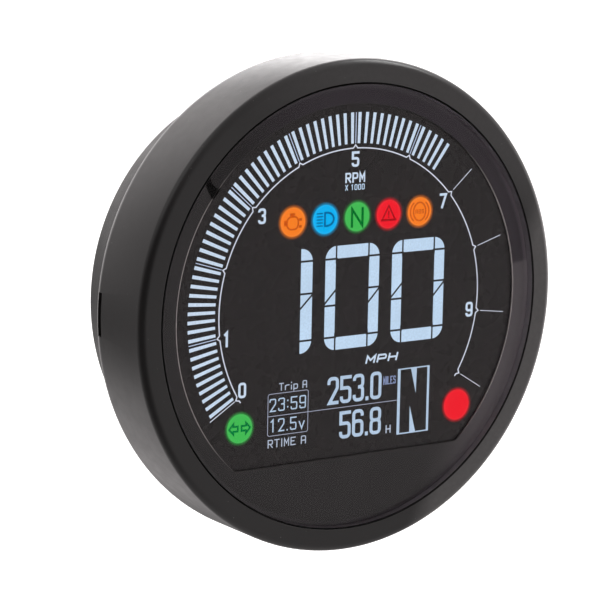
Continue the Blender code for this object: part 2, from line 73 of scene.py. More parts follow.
# ------------------------------------------------------------------ places from the CAD parts

def centre_of(node):
    low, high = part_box(node)
    return (low.x + high.x) / 2 / MM, (low.z + high.z) / 2 / MM


def depths_of(node):
    low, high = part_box(node)
    return (low.y - FRONT_Y) / MM, (high.y - FRONT_Y) / MM


def half_size_of(node):
    low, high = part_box(node)
    return (high.x - low.x) / 2 / MM, (high.z - low.z) / 2 / MM


def radius_of(node):
    return half_size_of(node)[0]


def spot(x, depth, z):
    """A place on the dial and a depth, as a point of the frame in metres."""
    return Vector((x * MM, FRONT_Y + depth * MM, z * MM))


def polar(radius, degrees):
    angle = math.radians(degrees)
    return radius * math.cos(angle), radius * math.sin(angle)


BEZEL_RADIUS = radius_of("bezel")
BEZEL_DEPTH = depths_of("bezel")[1]
LENS_RADIUS = radius_of("lens")
MASK_FRONT, MASK_BACK = depths_of("dial_mask")
GLASS_FRONT, GLASS_BACK = depths_of("lcd_front_glass")
FLANGE_RADIUS = radius_of("rear_case")
FLANGE_FRONT, CASE_END = depths_of("rear_case")


# ------------------------------------------------------------------ outlines

def rounded(corners, closed=True, steps=8):
    """A line of (u, v) points, in which a corner given as (u, v, radius) is an arc."""
    points = []
    last = len(corners) - 1
    for index, (u, v, *radius) in enumerate(corners):
        here = Vector((u, v))
        if not radius or radius[0] <= 0 or (not closed and index in (0, last)):
            points.append(here)
            continue
        before = (Vector(corners[index - 1][:2]) - here).normalized()
        after = (Vector(corners[(index + 1) % len(corners)][:2]) - here).normalized()
        half = before.angle(after) / 2
        centre = here + (before + after).normalized() * radius[0] / math.sin(half)
        reach = radius[0] / math.tan(half)
        start, end = here + before * reach - centre, here + after * reach - centre
        turn = math.atan2(start.cross(end), start.dot(end))
        for step in range(steps + 1):
            points.append(centre + Matrix.Rotation(turn * step / steps, 2) @ start)
    return points


def rectangle(left, bottom, right, top, radius=0.0, steps=8):
    return rounded([(left, bottom, radius), (right, bottom, radius),
                    (right, top, radius), (left, top, radius)], steps=steps)


def circle(centre, radius, steps=SMALL_STEPS):
    turns = [math.tau * step / steps for step in range(steps)]
    return [Vector((centre[0] + radius * math.cos(a), centre[1] + radius * math.sin(a)))
            for a in turns]


def arc(centre, radius, start, end, steps=24):
    """Points along an arc between two angles in degrees."""
    points = []
    for step in range(steps + 1):
        x, z = polar(radius, start + (end - start) * step / steps)
        points.append(Vector((centre[0] + x, centre[1] + z)))
    return points


def round_with_chord(radius, chord, steps=128):
    """A disc whose lower edge is cut off straight at z = chord."""
    start = math.degrees(math.asin(chord / radius))
    return arc((0, 0), radius, start, 180 - start, steps)


def ribbon(points, width, closed=False):
    """A stroke along a line of points, as one four-sided shape for each length of it."""
    line = [Vector(point) for point in points]
    last = len(line) - 1
    sides = []
    for index, here in enumerate(line):
        inwards = (here - line[index - 1]).normalized()
        onwards = (line[(index + 1) % len(line)] - here).normalized()
        if not closed and index == 0:
            inwards = onwards
        if not closed and index == last:
            onwards = inwards
        across = Vector((-inwards.y - onwards.y, inwards.x + onwards.x)).normalized()
        squareness = max(0.35, across.dot(Vector((-inwards.y, inwards.x))))
        reach = across * width / 2 / squareness
        sides.append((here + reach, here - reach))
    pairs = list(zip(sides, sides[1:])) + ([(sides[-1], sides[0])] if closed else [])
    return [[a[1], b[1], b[0], a[0]] for a, b in pairs]


# ------------------------------------------------------------------ meshes

def shaded_mesh(mesh):
    """Smooth shading, with the sharp edges kept."""
    mesh.shade_smooth()
    mesh.set_sharp_from_angle(angle=SHARP_ANGLE)
    return mesh


def finished(bm):
    """The mesh of a bmesh, which is used up."""
    bmesh.ops.recalc_face_normals(bm, faces=bm.faces)
    mesh = bpy.data.meshes.new("mesh")
    bm.to_mesh(mesh)
    bm.free()
    return shaded_mesh(mesh)


def rings_joined(bm, rings, closed):
    """Faces between neighbouring rings of vertices, where a ring of one vertex is a point."""
    pairs = list(zip(rings, rings[1:])) + ([(rings[-1], rings[0])] if closed else [])
    for one, other in pairs:
        steps = max(len(one), len(other))
        for k in range(steps if steps > 1 else 0):
            following = (k + 1) % steps
            corners = (one[k % len(one)], one[following % len(one)],
                       other[following % len(other)], other[k % len(other)])
            bm.faces.new(dict.fromkeys(corners))


def turned(section, steps=TURN_STEPS, centre=(0.0, 0.0)):
    """A solid turned about the dial axis from the (radius, depth) corners of its section."""
    bm = bmesh.new()
    rings = []
    for radius, depth in section:
        places = [(0.0, 0.0)] if radius < NOTHING else circle((0, 0), radius, steps)
        rings.append([bm.verts.new(spot(centre[0] + x, depth, centre[1] + z))
                      for x, z in places])
    rings_joined(bm, rings, closed=True)
    return bm


def drawn(outline_at, section):
    """A solid with one outline for each (growth, depth) of its section, capped at both ends."""
    bm = bmesh.new()
    rings = [[bm.verts.new(spot(x, depth, z)) for x, z in outline_at(growth)]
             for growth, depth in section]
    rings_joined(bm, rings, closed=False)
    bm.faces.new(rings[0])
    bm.faces.new(rings[-1])
    return bm


def flat_solid(shapes, front, back, cuts=()):
    """A thin solid that covers the shapes, less the cuts, between two depths."""
    points, loops = [], []
    for loop in (*shapes, *cuts):
        area = sum(a[0] * b[1] - b[0] * a[1] for a, b in zip(loop, [*loop[1:], loop[0]]))
        loops.append([len(points) + k for k in range(len(loop))][::1 if area > 0 else -1])
        points += [Vector(point[:2]) for point in loop]
    found = geometry.delaunay_2d_cdt(points, [], loops, 1, 1e-5)
    corners, triangles, sources = found[0], found[2], found[5]
    kept = [triangle for triangle, source in zip(triangles, sources)
            if any(k < len(shapes) for k in source) and all(k < len(shapes) for k in source)]
    used = sorted({corner for triangle in kept for corner in triangle})
    bm = bmesh.new()
    fronts = {k: bm.verts.new(spot(corners[k].x, front, corners[k].y)) for k in used}
    backs = {k: bm.verts.new(spot(corners[k].x, back, corners[k].y)) for k in used}
    sides = {(a, b) for t in kept for a, b in zip(t, [*t[1:], t[0]])}
    for triangle in kept:
        bm.faces.new([fronts[k] for k in triangle])
        bm.faces.new([backs[k] for k in reversed(triangle)])
    for a, b in sorted(sides):
        if (b, a) not in sides:
            bm.faces.new((fronts[b], fronts[a], backs[a], backs[b]))
    return bm


def joined(pieces):
    """One bmesh that holds several separate closed shapes."""
    together = bmesh.new()
    for bm in pieces:
        scrap = finished(bm)
        together.from_mesh(scrap)
        bpy.data.meshes.remove(scrap)
    return together


def cylinders(places, radius, front, back, steps=SMALL_STEPS):
    section = [(0.0, front), (radius, front), (radius, back), (0.0, back)]
    return joined([turned(section, steps, place) for place in places])


def placed(name, mesh):
    """A new object of the scene."""
    item = bpy.data.objects.new(name, mesh)
    bpy.context.scene.collection.objects.link(item)
    return item


def carved(bm, *steps):
    """The mesh that a row of (operation, shape) Booleans leaves."""
    target = placed("blank", finished(bm))
    tools = []
    for operation, shape in steps:
        tool = placed("tool", finished(shape))
        modifier = target.modifiers.new("carve", "BOOLEAN")
        modifier.operation, modifier.object, modifier.solver = operation, tool, "EXACT"
        tools.append(tool)
    depsgraph = bpy.context.evaluated_depsgraph_get()
    mesh = bpy.data.meshes.new_from_object(target.evaluated_get(depsgraph))
    for item in [target, *tools]:
        used = item.data
        bpy.data.objects.remove(item)
        bpy.data.meshes.remove(used)
    return shaded_mesh(mesh)


def piece(name, shape, finish, body="housing", stands_for=(), at=(0.0, 0.0)):
    """A shown piece of the object, which rides on a CAD body. Its shape is a mesh or a bmesh."""
    mesh = finished(shape) if isinstance(shape, bmesh.types.BMesh) else shape
    mesh.name = name
    item = placed(name, mesh)
    item.location = (at[0] * MM, 0.0, at[1] * MM)
    mesh.materials.clear()
    mesh.materials.append(finish)
    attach(item, body)
    if stands_for:
        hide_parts(*stands_for)
    return item


# ------------------------------------------------------------------ materials

def screen(red, green, blue):
    """A colour as a screen shows it, from 0 to 255, in the linear values a shader takes."""
    return tuple(c / 255 / 12.92 if c <= 10 else ((c / 255 + 0.055) / 1.055) ** 2.4
                 for c in (red, green, blue))


def shaded(colour, share):
    return tuple(c * share for c in colour)


class Nodes:
    """Short calls for the nodes of a tree."""

    def __init__(self, tree):
        self.tree = tree

    def add(self, kind, values=(), **settings):
        node = self.tree.nodes.new(f"ShaderNode{kind}")
        for key, value in settings.items():
            setattr(node, key, value)
        for key, value in dict(values).items():
            if isinstance(value, bpy.types.NodeSocket):
                self.tree.links.new(value, node.inputs[key])
            else:
                node.inputs[key].default_value = value
        return node

    def between(self, value, low, high, out_low=0.0, out_high=1.0):
        """Passes smoothly from one output to the other while the value goes from low to high."""
        return self.add("MapRange", {"Value": value, "From Min": low, "From Max": high,
                                               "To Min": out_low, "To Max": out_high},
                        interpolation_type="SMOOTHSTEP").outputs["Result"]

    def maths(self, operation, one, other=0.0):
        return self.add("Math", {0: one, 1: other}, operation=operation).outputs[0]

    def times(self, one, other):
        return self.maths("MULTIPLY", one, other)

    def dot(self, one, other):
        return self.add("VectorMath", {0: one, 1: other},
                        operation="DOT_PRODUCT").outputs["Value"]


class Finish(Nodes):
    """A Principled material, with short calls for what gives it detail."""

    def __init__(self, name, roughness=0.5, metallic=0.0, gloss=0.5):
        self.material = bpy.data.materials.new(name)
        self.material.use_nodes = True
        super().__init__(self.material.node_tree)
        self.shader = self.tree.nodes["Principled BSDF"]
        self.set("Roughness", roughness)
        self.set("Metallic", metallic)
        self.set("Specular IOR Level", gloss)
        self.place = self.add("TexCoord").outputs["Object"]

    def set(self, socket, value):
        self.shader.inputs[socket].default_value = value

    def feed(self, socket, value):
        self.tree.links.new(value, self.shader.inputs[socket])

    def noise(self, size, detail=3.0):
        """Smooth noise from 0 to 1, with spots of about that size in millimetres."""
        return self.add("TexNoise", {"Vector": self.place, "Scale": 1 / (size * MM),
                                               "Detail": detail}).outputs[0]

    def cells(self, size):
        """Distance to the nearest of many scattered points, about that size apart."""
        return self.add("TexVoronoi", {"Vector": self.place, "Scale": 1 / (size * MM)}
                        ).outputs["Distance"]

    def paint(self, factor, one, other):
        self.feed("Base Color", self.mix(factor, one, other))

    def dull(self, size, detail, smooth, rough, low=0.2, high=0.8):
        """Roughness that drifts with noise of a size in millimetres."""
        self.feed("Roughness", self.between(self.noise(size, detail), low, high, smooth, rough))

    def mix(self, factor, one, other):
        one, other = ((*c, 1.0) if isinstance(c, tuple) else c for c in (one, other))
        return self.add("Mix", {0: factor, 6: one, 7: other},
                        data_type="RGBA").outputs[2]

    def axis(self, name):
        return self.add("SeparateXYZ", {0: self.place}).outputs[name]

    def along(self, way):
        """Distance from the middle of the dial along a direction, in metres."""
        return self.dot(self.place, way)

    def from_centre(self):
        """Distance from the piece's own centre line, in metres."""
        flat = self.add("VectorMath", {0: self.place, 1: (1.0, 0.0, 1.0)},
                        operation="MULTIPLY").outputs["Vector"]
        return self.add("VectorMath", {0: flat}, operation="LENGTH").outputs["Value"]

    def bump(self, height, depth, strength=1.0):
        """Raises the surface by the height times a depth in millimetres."""
        node = self.add("Bump", {"Strength": strength, "Distance": depth * MM,
                                           "Height": height})
        self.feed("Normal", node.outputs["Normal"])


# Ways across the dial, and distances along them or from its middle, in metres, that place painted
# light, a painted reflection and a painted highlight on the finishes below
RING_PAINTED_LIGHT_SIDE, RING_SIDE_LIGHT_SPAN = (0.91, 0.0, -0.42), (0.0355, 0.0425)
RING_PAINTED_LIGHT_TOP, RING_TOP_LIGHT_SPAN = (0.42, 0.0, 0.91), (0.026, 0.050, 0.0, 0.42)
RING_LIGHT_START, RING_LIGHT_FULL = 0.0510, 0.0512
MASK_PAINTED_LIGHT_SIDE, MASK_LIGHT_SPAN = (0.985, 0.0, -0.17), (0.026, 0.048)
MASK_RIM_PAINTED_LIGHT = (0.0490, 0.0507, 0.0, 0.38)
SLEEVE_PAINTED_LIGHT_SIDE, SLEEVE_LIGHT_SPAN = (0.87, 0.0, -0.50), (0.030, 0.050)
LIT_EDGE = (0.029, 0.044)
REFLECTION_BLEND, REFLECTION_DARKENING = 0.01, (0.75, 0.2)  # radians round the dial


def black_paint_and_painted_light():
    """Satin black paint: orange peel, uneven gloss and specks, with painted light that makes the
    top and one side lighter in patches.
    """
    look = Finish("black_paint_and_painted_light")
    tone = look.mix(look.noise(22, 4), (0.0085, 0.0076, 0.0076), (0.0130, 0.0117, 0.0117))
    # Painted light: the ring turns lighter towards one side and the top, in patches, and only
    # outside the opening's wall.
    side = look.between(look.along(RING_PAINTED_LIGHT_SIDE), *RING_SIDE_LIGHT_SPAN)
    top = look.between(look.along(RING_PAINTED_LIGHT_TOP), *RING_TOP_LIGHT_SPAN)
    light_patches = look.times(look.between(look.noise(1.0, 5), 0.2, 0.8, 0.51, 0.66),
                      look.between(look.from_centre(), RING_LIGHT_START, RING_LIGHT_FULL))
    tone = look.mix(look.times(look.maths("ADD", side, top), light_patches), tone, (0.092, 0.087, 0.087))
    cloud = look.between(look.noise(0.5, 2), 0.25, 0.75)
    speck = look.between(look.cells(2.2), 0.035, 0.06, 1.0, 0.0)
    look.paint(look.times(speck, cloud), tone, (0.12, 0.115, 0.11))
    look.dull(2.5, 6, 0.30, 0.36, 0.25, 0.75)
    look.bump(look.maths("ADD", look.noise(0.35, 2), look.noise(0.09, 2)), 0.012, 0.35)
    return look.material


def moulded_black(name, grain=0.45, roughness=0.5, dark=0.012, light=0.020):
    """Moulded black plastic with a fine eroded texture."""
    look = Finish(name)
    look.paint(look.noise(14, 4), (dark,) * 3, (light,) * 3)
    look.dull(4, 4, roughness - 0.06, roughness + 0.06)
    look.bump(look.maths("ADD", look.cells(grain), look.noise(grain / 2, 2)), 0.03, 0.6)
    return look.material


def rubber(name):
    look = Finish(name, gloss=0.3)
    dusty = look.between(look.noise(3, 5), 0.4, 0.75)
    look.paint(dusty, (0.010, 0.010, 0.010), (0.026, 0.025, 0.024))
    look.dull(1.2, 3, 0.62, 0.85)
    look.bump(look.noise(0.25, 4), 0.02, 0.6)
    return look.material


def clear_lens():
    """Clear cover: only its reflections show, with faint smears that change its gloss."""
    look = Finish("clear_lens", metallic=1.0)
    look.set("Base Color", (1.0, 0.97, 0.98, 1.0))
    look.dull(25, 3, 0.030, 0.045, 0.4, 0.8)
    look.feed("Alpha", look.add("Fresnel", {"IOR": 1.15}).outputs[0])
    return look.material


def print_and_painted_light(reflection_from, reflection_to):
    """Dark print behind the lens, with a painted reflection that deepens its tone between two
    angles round the dial, and painted light that makes one side and the rim lighter.
    """
    look = Finish("print_and_painted_light", gloss=0.35)
    # Painted reflection: a deeper purple tone between two angles round the dial, darkest next to
    # the notch.
    angle = look.maths("ARCTAN2", look.axis("Z"), look.axis("X"))
    start, end = math.radians(reflection_from), math.radians(reflection_to)
    painted_reflection = look.times(look.between(angle, end - REFLECTION_BLEND, end + REFLECTION_BLEND),
                        look.between(angle, start - REFLECTION_BLEND, start + REFLECTION_BLEND, 1.0, 0.0))
    darkest_reflection = look.between(angle, *[start - reach for reach in REFLECTION_DARKENING])
    # Painted light: the print turns lighter towards one side, and its rim turns lighter still to
    # cancel the shade next to the bezel wall.
    pale = look.between(look.along(MASK_PAINTED_LIGHT_SIDE), *MASK_LIGHT_SPAN)
    grain = look.noise(0.6, 5)
    plain = look.mix(grain, (0.0170, 0.0148, 0.0152), (0.0215, 0.0186, 0.0196))
    plain = look.mix(pale, plain, (0.086, 0.074, 0.082))
    purple = look.mix(grain, (0.0195, 0.0125, 0.0200), (0.0245, 0.0160, 0.0255))
    purple = look.mix(darkest_reflection, purple, (0.0055, 0.0028, 0.0040))
    rim_painted_light_colour = look.mix(pale, (0.120, 0.104, 0.118), (0.340, 0.300, 0.325))
    rim = look.between(look.from_centre(), *MASK_RIM_PAINTED_LIGHT)
    look.paint(rim, look.mix(painted_reflection, plain, purple), rim_painted_light_colour)
    look.dull(5, 4, 0.30, 0.42, 0.3, 0.7)
    return look.material


def display_black():
    """Black of a negative display, slightly cloudy."""
    look = Finish("display_black", gloss=0.25)
    look.paint(look.noise(9, 4), (0.0170, 0.0138, 0.0142), (0.0190, 0.0158, 0.0162))
    look.dull(4, 3, 0.265, 0.285, 0.3, 0.7)
    return look.material


def glowing(name):
    """A finish that shows its own light and nothing else."""
    look = Finish(name, gloss=0.0)
    look.set("Base Color", (0.0, 0.0, 0.0, 1.0))
    look.set("Emission Strength", 1.0)
    return look


def lit(name, colour, unevenness=0.13):
    """A lit display segment, a little uneven as a backlight is."""
    look = glowing(name)
    cloud = look.times(look.noise(7), look.between(look.noise(0.45), 0.2, 0.7))
    look.feed("Emission Color", look.mix(look.between(cloud, 0.1, 0.6),
                                         shaded(colour, 1 - unevenness), colour))
    return look.material


def lamp_light(name, colour, radius, glow):
    """A lit lamp that fades out round its rim. Its piece is centred on the lamp."""
    look = glowing(name)
    distance = look.from_centre()
    rim = look.between(distance, 0.78 * radius * MM, radius * MM)
    cloud = look.between(look.noise(2.5), 0.3, 0.7, 0.0, 0.3)
    edge = tuple(c + 0.012 * (1.0 - c) for c in colour)
    look.feed("Emission Color", look.mix(look.maths("MAXIMUM", rim, cloud), colour, edge))
    body = look.between(distance, (radius - 0.12) * MM, (radius + 0.18) * MM, 1.0, 0.0)
    halo = look.between(distance, radius * MM, (radius + glow) * MM, 0.22, 0.0)
    look.feed("Alpha", look.maths("MAXIMUM", body, halo))
    return look.material


SCREW_MARKS, INSERT_MARKS = 40000.0, 36000.0  # radians of the ripple in a metre


def turning_marks(look, fineness):
    """Fine rings round the piece's own centre line."""
    return look.maths("SINE", look.times(look.from_centre(), fineness))


def steel(name, colour=(0.55, 0.54, 0.52), roughness=0.28):
    """Plated steel with fine turned scratches and dull patches."""
    look = Finish(name, metallic=1.0)
    look.paint(look.between(look.noise(2.2, 4), 0.35, 0.8), colour, shaded(colour, 0.7))
    worn = look.times(look.noise(0.4, 4), 0.25)
    look.feed("Roughness", look.maths("ADD", worn, roughness - 0.08))
    look.bump(look.times(turning_marks(look, SCREW_MARKS), look.noise(1.0)), 0.002, 0.4)
    return look.material


def plain_plastic(name, colour, roughness=0.4, grain=0.5):
    """Moulded plastic of one hue with flow marks, slight stains and a fine texture."""
    look = Finish(name)
    look.paint(look.between(look.noise(8, 5), 0.3, 0.8), colour, shaded(colour, 0.82))
    look.dull(3, 4, roughness - 0.06, roughness + 0.08)
    look.bump(look.noise(grain), 0.012, 0.5)
    return look.material


def circuit_board():
    """Green solder mask over copper tracks, with the weave of the board under it."""
    look = Finish("circuit_board")
    tracks = look.add("TexBrick", {"Vector": look.place, "Scale": 260.0,
                                             "Mortar Size": 0.035}).outputs["Fac"]
    weave = look.noise(0.8, 2)
    bare = look.mix(weave, (0.010, 0.085, 0.030), (0.016, 0.115, 0.042))
    look.paint(tracks, bare, (0.035, 0.20, 0.065))
    look.dull(2, 3, 0.28, 0.40)
    look.bump(look.maths("ADD", tracks, weave), 0.02, 0.6)
    return look.material


def striped_rubber():
    look = Finish("striped_rubber", gloss=0.3)
    stripes = look.maths("SINE", look.times(look.axis("X"), 12000.0))
    look.paint(look.between(stripes, -0.3, 0.3), (0.02, 0.02, 0.02), (0.32, 0.32, 0.34))
    look.dull(0.8, 3, 0.5, 0.7)
    look.bump(stripes, 0.02, 0.4)
    return look.material


# ------------------------------------------------------------------ housing

BEZEL_FRONT_ROUND = 1.8
BEZEL_REAR_ROUND = 3.5
BEZEL_LIP_ROUND = 0.12
BEZEL_BORE = 48.4
CASE_SCREWS = [centre_of(f"case_screw_{index}") for index in (1, 2, 3, 4)]
SCREW_HOLE = 1.4
SLOT_FRONT, SLOT_BACK = 17.0, 18.6
SLOT_START, SLOT_END = 174.3, 184.3  # degrees round the dial
SLOT_DEPTH = 1.2


def make_bezel():
    opening = LENS_RADIUS + GAP
    ledge = depths_of("lens_seal")[1] + GAP
    shoulder = depths_of("case_gasket")[0] - GAP
    section = rounded([
        (opening, 0.0, BEZEL_LIP_ROUND), (opening, ledge), (BEZEL_BORE, ledge),
        (BEZEL_BORE, shoulder),
        (FLANGE_RADIUS + GAP, shoulder), (FLANGE_RADIUS + GAP, BEZEL_DEPTH, 0.15),
        (BEZEL_RADIUS, BEZEL_DEPTH, BEZEL_REAR_ROUND), (BEZEL_RADIUS, 0.0, BEZEL_FRONT_ROUND)],
        steps=12)
    screw_depth = depths_of("case_screw_1")[0] - 1.0
    slot = [*arc((0, 0), BEZEL_RADIUS - SLOT_DEPTH, SLOT_START, SLOT_END),
            *arc((0, 0), BEZEL_RADIUS + 1, SLOT_END, SLOT_START)]
    holes = cylinders(CASE_SCREWS, SCREW_HOLE, screw_depth, shoulder + 1)
    groove = drawn(lambda growth: slot, [(0, SLOT_FRONT), (0, SLOT_BACK)])
    mesh = carved(turned(section), ("DIFFERENCE", holes), ("DIFFERENCE", groove))
    piece("bezel_ring", mesh, black_paint_and_painted_light(), stands_for=["bezel"])


SEAM_SHADE_WIDTH = 0.12  # width of the black ring round the lens, painted shade of the seam
EDGE_SKIN = 0.08
SLEEVE_FRONT, SLEEVE_BACK = 0.1, MASK_FRONT - 0.05


def make_lens():
    """The clear cover, a black ring round its edge that is painted shade of the seam, and the dark
    sleeve inside that edge, whose tone carries painted light.
    """
    back = depths_of("lens")[1]
    clear = LENS_RADIUS - SEAM_SHADE_WIDTH
    cover = [(0.0, 0.0), (clear, 0.0), (clear, back), (0.0, back)]
    piece("lens_cover", turned(cover), clear_lens(), stands_for=["lens"])

    inner = LENS_RADIUS - EDGE_SKIN
    edge = [(clear, 0.03), (LENS_RADIUS, 0.08), (LENS_RADIUS, back), (inner, back),
            (inner, 0.12), (clear, 0.08)]
    # Painted shade: a near-black ring round the lens edge darkens the seam.
    look = Finish("seam_painted_shade", roughness=0.8, gloss=0.1)
    look.paint(look.noise(0.8), (0.006,) * 3, (0.010,) * 3)
    piece("lens_seam_shade", turned(edge), look.material)

    inner, outer = clear - 0.03, clear + 0.02
    sleeve = [(inner, SLEEVE_FRONT), (outer, SLEEVE_FRONT), (outer, SLEEVE_BACK),
              (inner, SLEEVE_BACK)]
    # Painted light: the sleeve's tone is raised against the shade it sits in, and more so towards
    # one side.
    look = Finish("sleeve_painted_light", roughness=0.6, gloss=0.2)
    pale = look.between(look.along(SLEEVE_PAINTED_LIGHT_SIDE), *SLEEVE_LIGHT_SPAN)
    tone = look.mix(pale, (0.105, 0.090, 0.105), (0.370, 0.345, 0.375))
    look.paint(look.noise(2), tone, (0.196, 0.180, 0.198))
    piece("lens_sleeve", turned(sleeve), look.material)


WINDOW_RADIUS = 46.3
WINDOW_CHORD = -34.7
# The print carries a painted reflection between these two angles.
REFLECTION_START, REFLECTION_END = 142.6, 8.0  # degrees round the dial
NOTCH = (  # radius and angle of the corners of the hooked notch, from the rim inwards and back
    (50.7, 139.3), (50.0, 139.7), (49.3, 140.2), (48.5, 140.7), (47.7, 140.9), (47.0, 140.9),
    (46.5, 140.7), (45.8, 140.4), (45.8, 144.0), (46.6, 143.9), (47.7, 143.4), (48.7, 142.7),
    (49.7, 142.0), (50.7, 141.7))
CUT_EDGE = 0.2
SET_BACK = 0.02  # how far the parts in the mask's openings lie behind its front


def make_mask():
    """The printed mask, with its round window, the notch at the window's upper left and a painted
    highlight along the window's edge.
    """
    edge = circle((0, 0), LENS_RADIUS, TURN_STEPS)
    window = round_with_chord(WINDOW_RADIUS, WINDOW_CHORD, TURN_STEPS)
    notch = [Vector(polar(*corner)) for corner in NOTCH]
    piece("mask_print", flat_solid([edge], MASK_FRONT, MASK_BACK, [window, notch]),
          print_and_painted_light(REFLECTION_START, REFLECTION_END), stands_for=["dial_mask"])

    shade = Finish("notch_black", roughness=0.9, gloss=0.0)
    shade.paint(shade.noise(0.5), (0.0005,) * 3, (0.0015,) * 3)
    piece("notch_shade", flat_solid([notch], MASK_FRONT + SET_BACK, MASK_BACK),
          shade.material)

    look = Finish("edge_highlight_finish", roughness=0.4, gloss=0.4)
    # Painted highlight: the left and right stretches of the window edge are light, and the middle
    # stays dark.
    lit_side = look.between(look.maths("ABSOLUTE", look.axis("X")), *LIT_EDGE)
    grain = look.mix(look.noise(1.5), (0.30, 0.265, 0.265), (0.52, 0.47, 0.46))
    look.paint(lit_side, (0.016, 0.013, 0.014), grain)
    line = round_with_chord(WINDOW_RADIUS - CUT_EDGE / 2, WINDOW_CHORD + CUT_EDGE / 2, TURN_STEPS)
    rim = ribbon(line, CUT_EDGE, closed=True)
    piece("mask_highlight_strip", flat_solid(rim, MASK_FRONT + SET_BACK, MASK_BACK), look.material)


def make_display_glass():
    radius, half_height = half_size_of("lcd_front_glass")
    chord = centre_of("lcd_front_glass")[1] - half_height
    outline = round_with_chord(radius, chord, TURN_STEPS)
    piece("display_panel", flat_solid([outline], GLASS_FRONT, GLASS_BACK), display_black(),
          stands_for=["lcd_front_glass"])


# ------------------------------------------------------------------ graphics of the display

ARTWORK_SHIFT = Vector((0.6, -0.2))  # the artwork sits a little off the dial axis
INK_BACK = GLASS_FRONT - 0.02
INK_FRONT = INK_BACK - 0.05
LIT = screen(197, 222, 247)
SCALE = screen(207, 224, 244)
SMALL = screen(184, 206, 230)
LINE = screen(216, 222, 238)
HAIR = screen(196, 210, 238)
LABEL = screen(184, 196, 216)
FAINT = screen(172, 178, 200)
BLURRED = screen(138, 152, 190)

# Strokes of each character as its corners u,v in a cell, sharp where a third value is 0.
# A bar parts two strokes.
GLYPHS = {
    "0": "0,0 1,0 1,1 0,1 0,0",
    "1": ".12,.8,0 .55,1,0 .55,0",
    "2": "0,.76 0,1 1,1 1,.6 .1,0,0 1,0",
    "3": "0,.8 0,1 1,1 1,.53 .45,.53 | .45,.53 1,.53 1,0 0,0 0,.22",
    "5": "1,1 0,1,0 0,.56,0 1,.56 1,0 0,0 0,.22",
    "6": "0,0 1,0 1,.58 0,.58 0,0 | 0,.3 0,1 1,1 1,.78",
    "7": "0,1 1,1,0 .3,0",
    "8": "0,0 1,0 1,.53 0,.53 0,0 | 0,.53 1,.53 1,1 0,1 0,.53",
    "9": "0,.42 1,.42 1,1 0,1 0,.42 | 1,.7 1,0 0,0 0,.22",
    "A": "0,0 0,1 1,1 1,0 | 0,.42 1,.42",
    "B": "0,0,0 0,.52,0 1,.52 1,0 0,0,0 | 0,.52,0 0,1,0 1,1 1,.52 0,.52,0",
    "E": "1,1 0,1,0 0,0,0 1,0 | 0,.52 .8,.52",
    "H": "0,0 0,1 | 1,0 1,1 | 0,.5 1,.5",
    "I": ".5,0 .5,1",
    "L": "0,1 0,0,0 1,0",
    "M": "0,0 0,1,0 .5,.35,0 1,1,0 1,0",
    "N": "0,0 0,1,0 1,0,0 1,1",
    "P": "0,0 0,1,0 1,1 1,.42 0,.42",
    "R": "0,0 0,1,0 1,1 1,.46 0,.46 | .45,.46 1,0,0",
    "S": "1,.78 1,1 0,1 0,.52 1,.52 1,0 0,0 0,.22",
    "T": "0,1 1,1 | .5,1 .5,0",
    "X": "0,0 1,1 | 0,1 1,0",
    "i": ".5,0 .5,.62 | .5,.95 .5,1",
    "p": "0,-.22 0,.66 | 0,.66 1,.66 1,0 0,0",
    "r": "0,0 0,.66 | 0,.5 .35,.66,0 1,.66",
    "v": "0,.62 .5,0,0 1,.62",
    ".": ".5,0 .5,.02",
    ":": ".5,.22 .5,.24 | .5,.76 .5,.78",
}
NARROW = ".:Ii"
SPACE_SHARE = 0.45


def strokes_of(char):
    return [[tuple(map(float, corner.split(","))) for corner in stroke.split()]
            for stroke in GLYPHS[char].split("|")]


def at_edge(point, inside):
    """Whether a stroke ends at an edge of its cell, going outwards."""
    along = 0 if abs(point[0] - inside[0]) > abs(point[1] - inside[1]) else 1
    short = math.dist(point[:2], inside[:2]) < 0.1
    return short or point[along] <= 0.0 or point[along] >= 1.0


def glyph(char, left, bottom, width, height, stroke, bend, slant=0.0):
    """The strokes of one character, in a cell that its ink fills."""
    shapes = []
    inner_width, inner_height = max(width - stroke, 0.0), height - stroke
    for line in strokes_of(char):
        closed = line[0] == line[-1]
        corners = []
        for u, v, *sharp in (line[:-1] if closed else line):
            z = stroke / 2 + v * inner_height
            x = left + stroke / 2 + u * inner_width + slant * z
            corners.append(Vector((x, bottom + z, 0.0 if sharp else bend)))
        for end, inside in (() if closed else ((0, 1), (-1, -2))):
            if at_edge(line[end], line[inside]):
                outwards = (corners[end] - corners[inside]).to_2d().normalized()
                corners[end] += (outwards * stroke / 2).to_3d()
        shapes += ribbon(rounded(corners, closed, 5), stroke, closed)
    return shapes


def lettering(text, left, right, bottom, height, stroke, bend, gap=0.2, narrow=0.3, slant=0.0):
    """A line of characters between two x values. Gaps and narrow cells are shares of a cell."""
    shares = [SPACE_SHARE if c == " " else narrow if c in NARROW else 1.0 for c in text]
    cell = (right - left - slant * height) / (sum(shares) + gap * (len(text) - 1))
    shapes = []
    for char, share in zip(text, shares):
        if char != " ":
            shapes += glyph(char, left, bottom, cell * share, height, stroke, bend, slant)
        left += cell * (share + gap)
    return shapes


# The tachometer scale
SCALE_CENTRE = (0.0, 0.75)
SCALE_START = 211.7
THOUSAND = 24.34  # degrees for each 1000 rpm
THOUSANDS = 10
BARS_IN_THOUSAND = 9
BAR_RADII = (36.6, 43.6)
BAR_DEGREES = 1.06
BARS_LIT = 59
SCALE_RADIUS = 35.55
SCALE_LINE = 0.27
START_LINE, TICK_LINE, HAIRLINE = 0.18, 0.15, 0.17
LAST_LIT_TICK = 6
PIP_HALF = 0.95  # degrees
PIP_TIP = 36.25


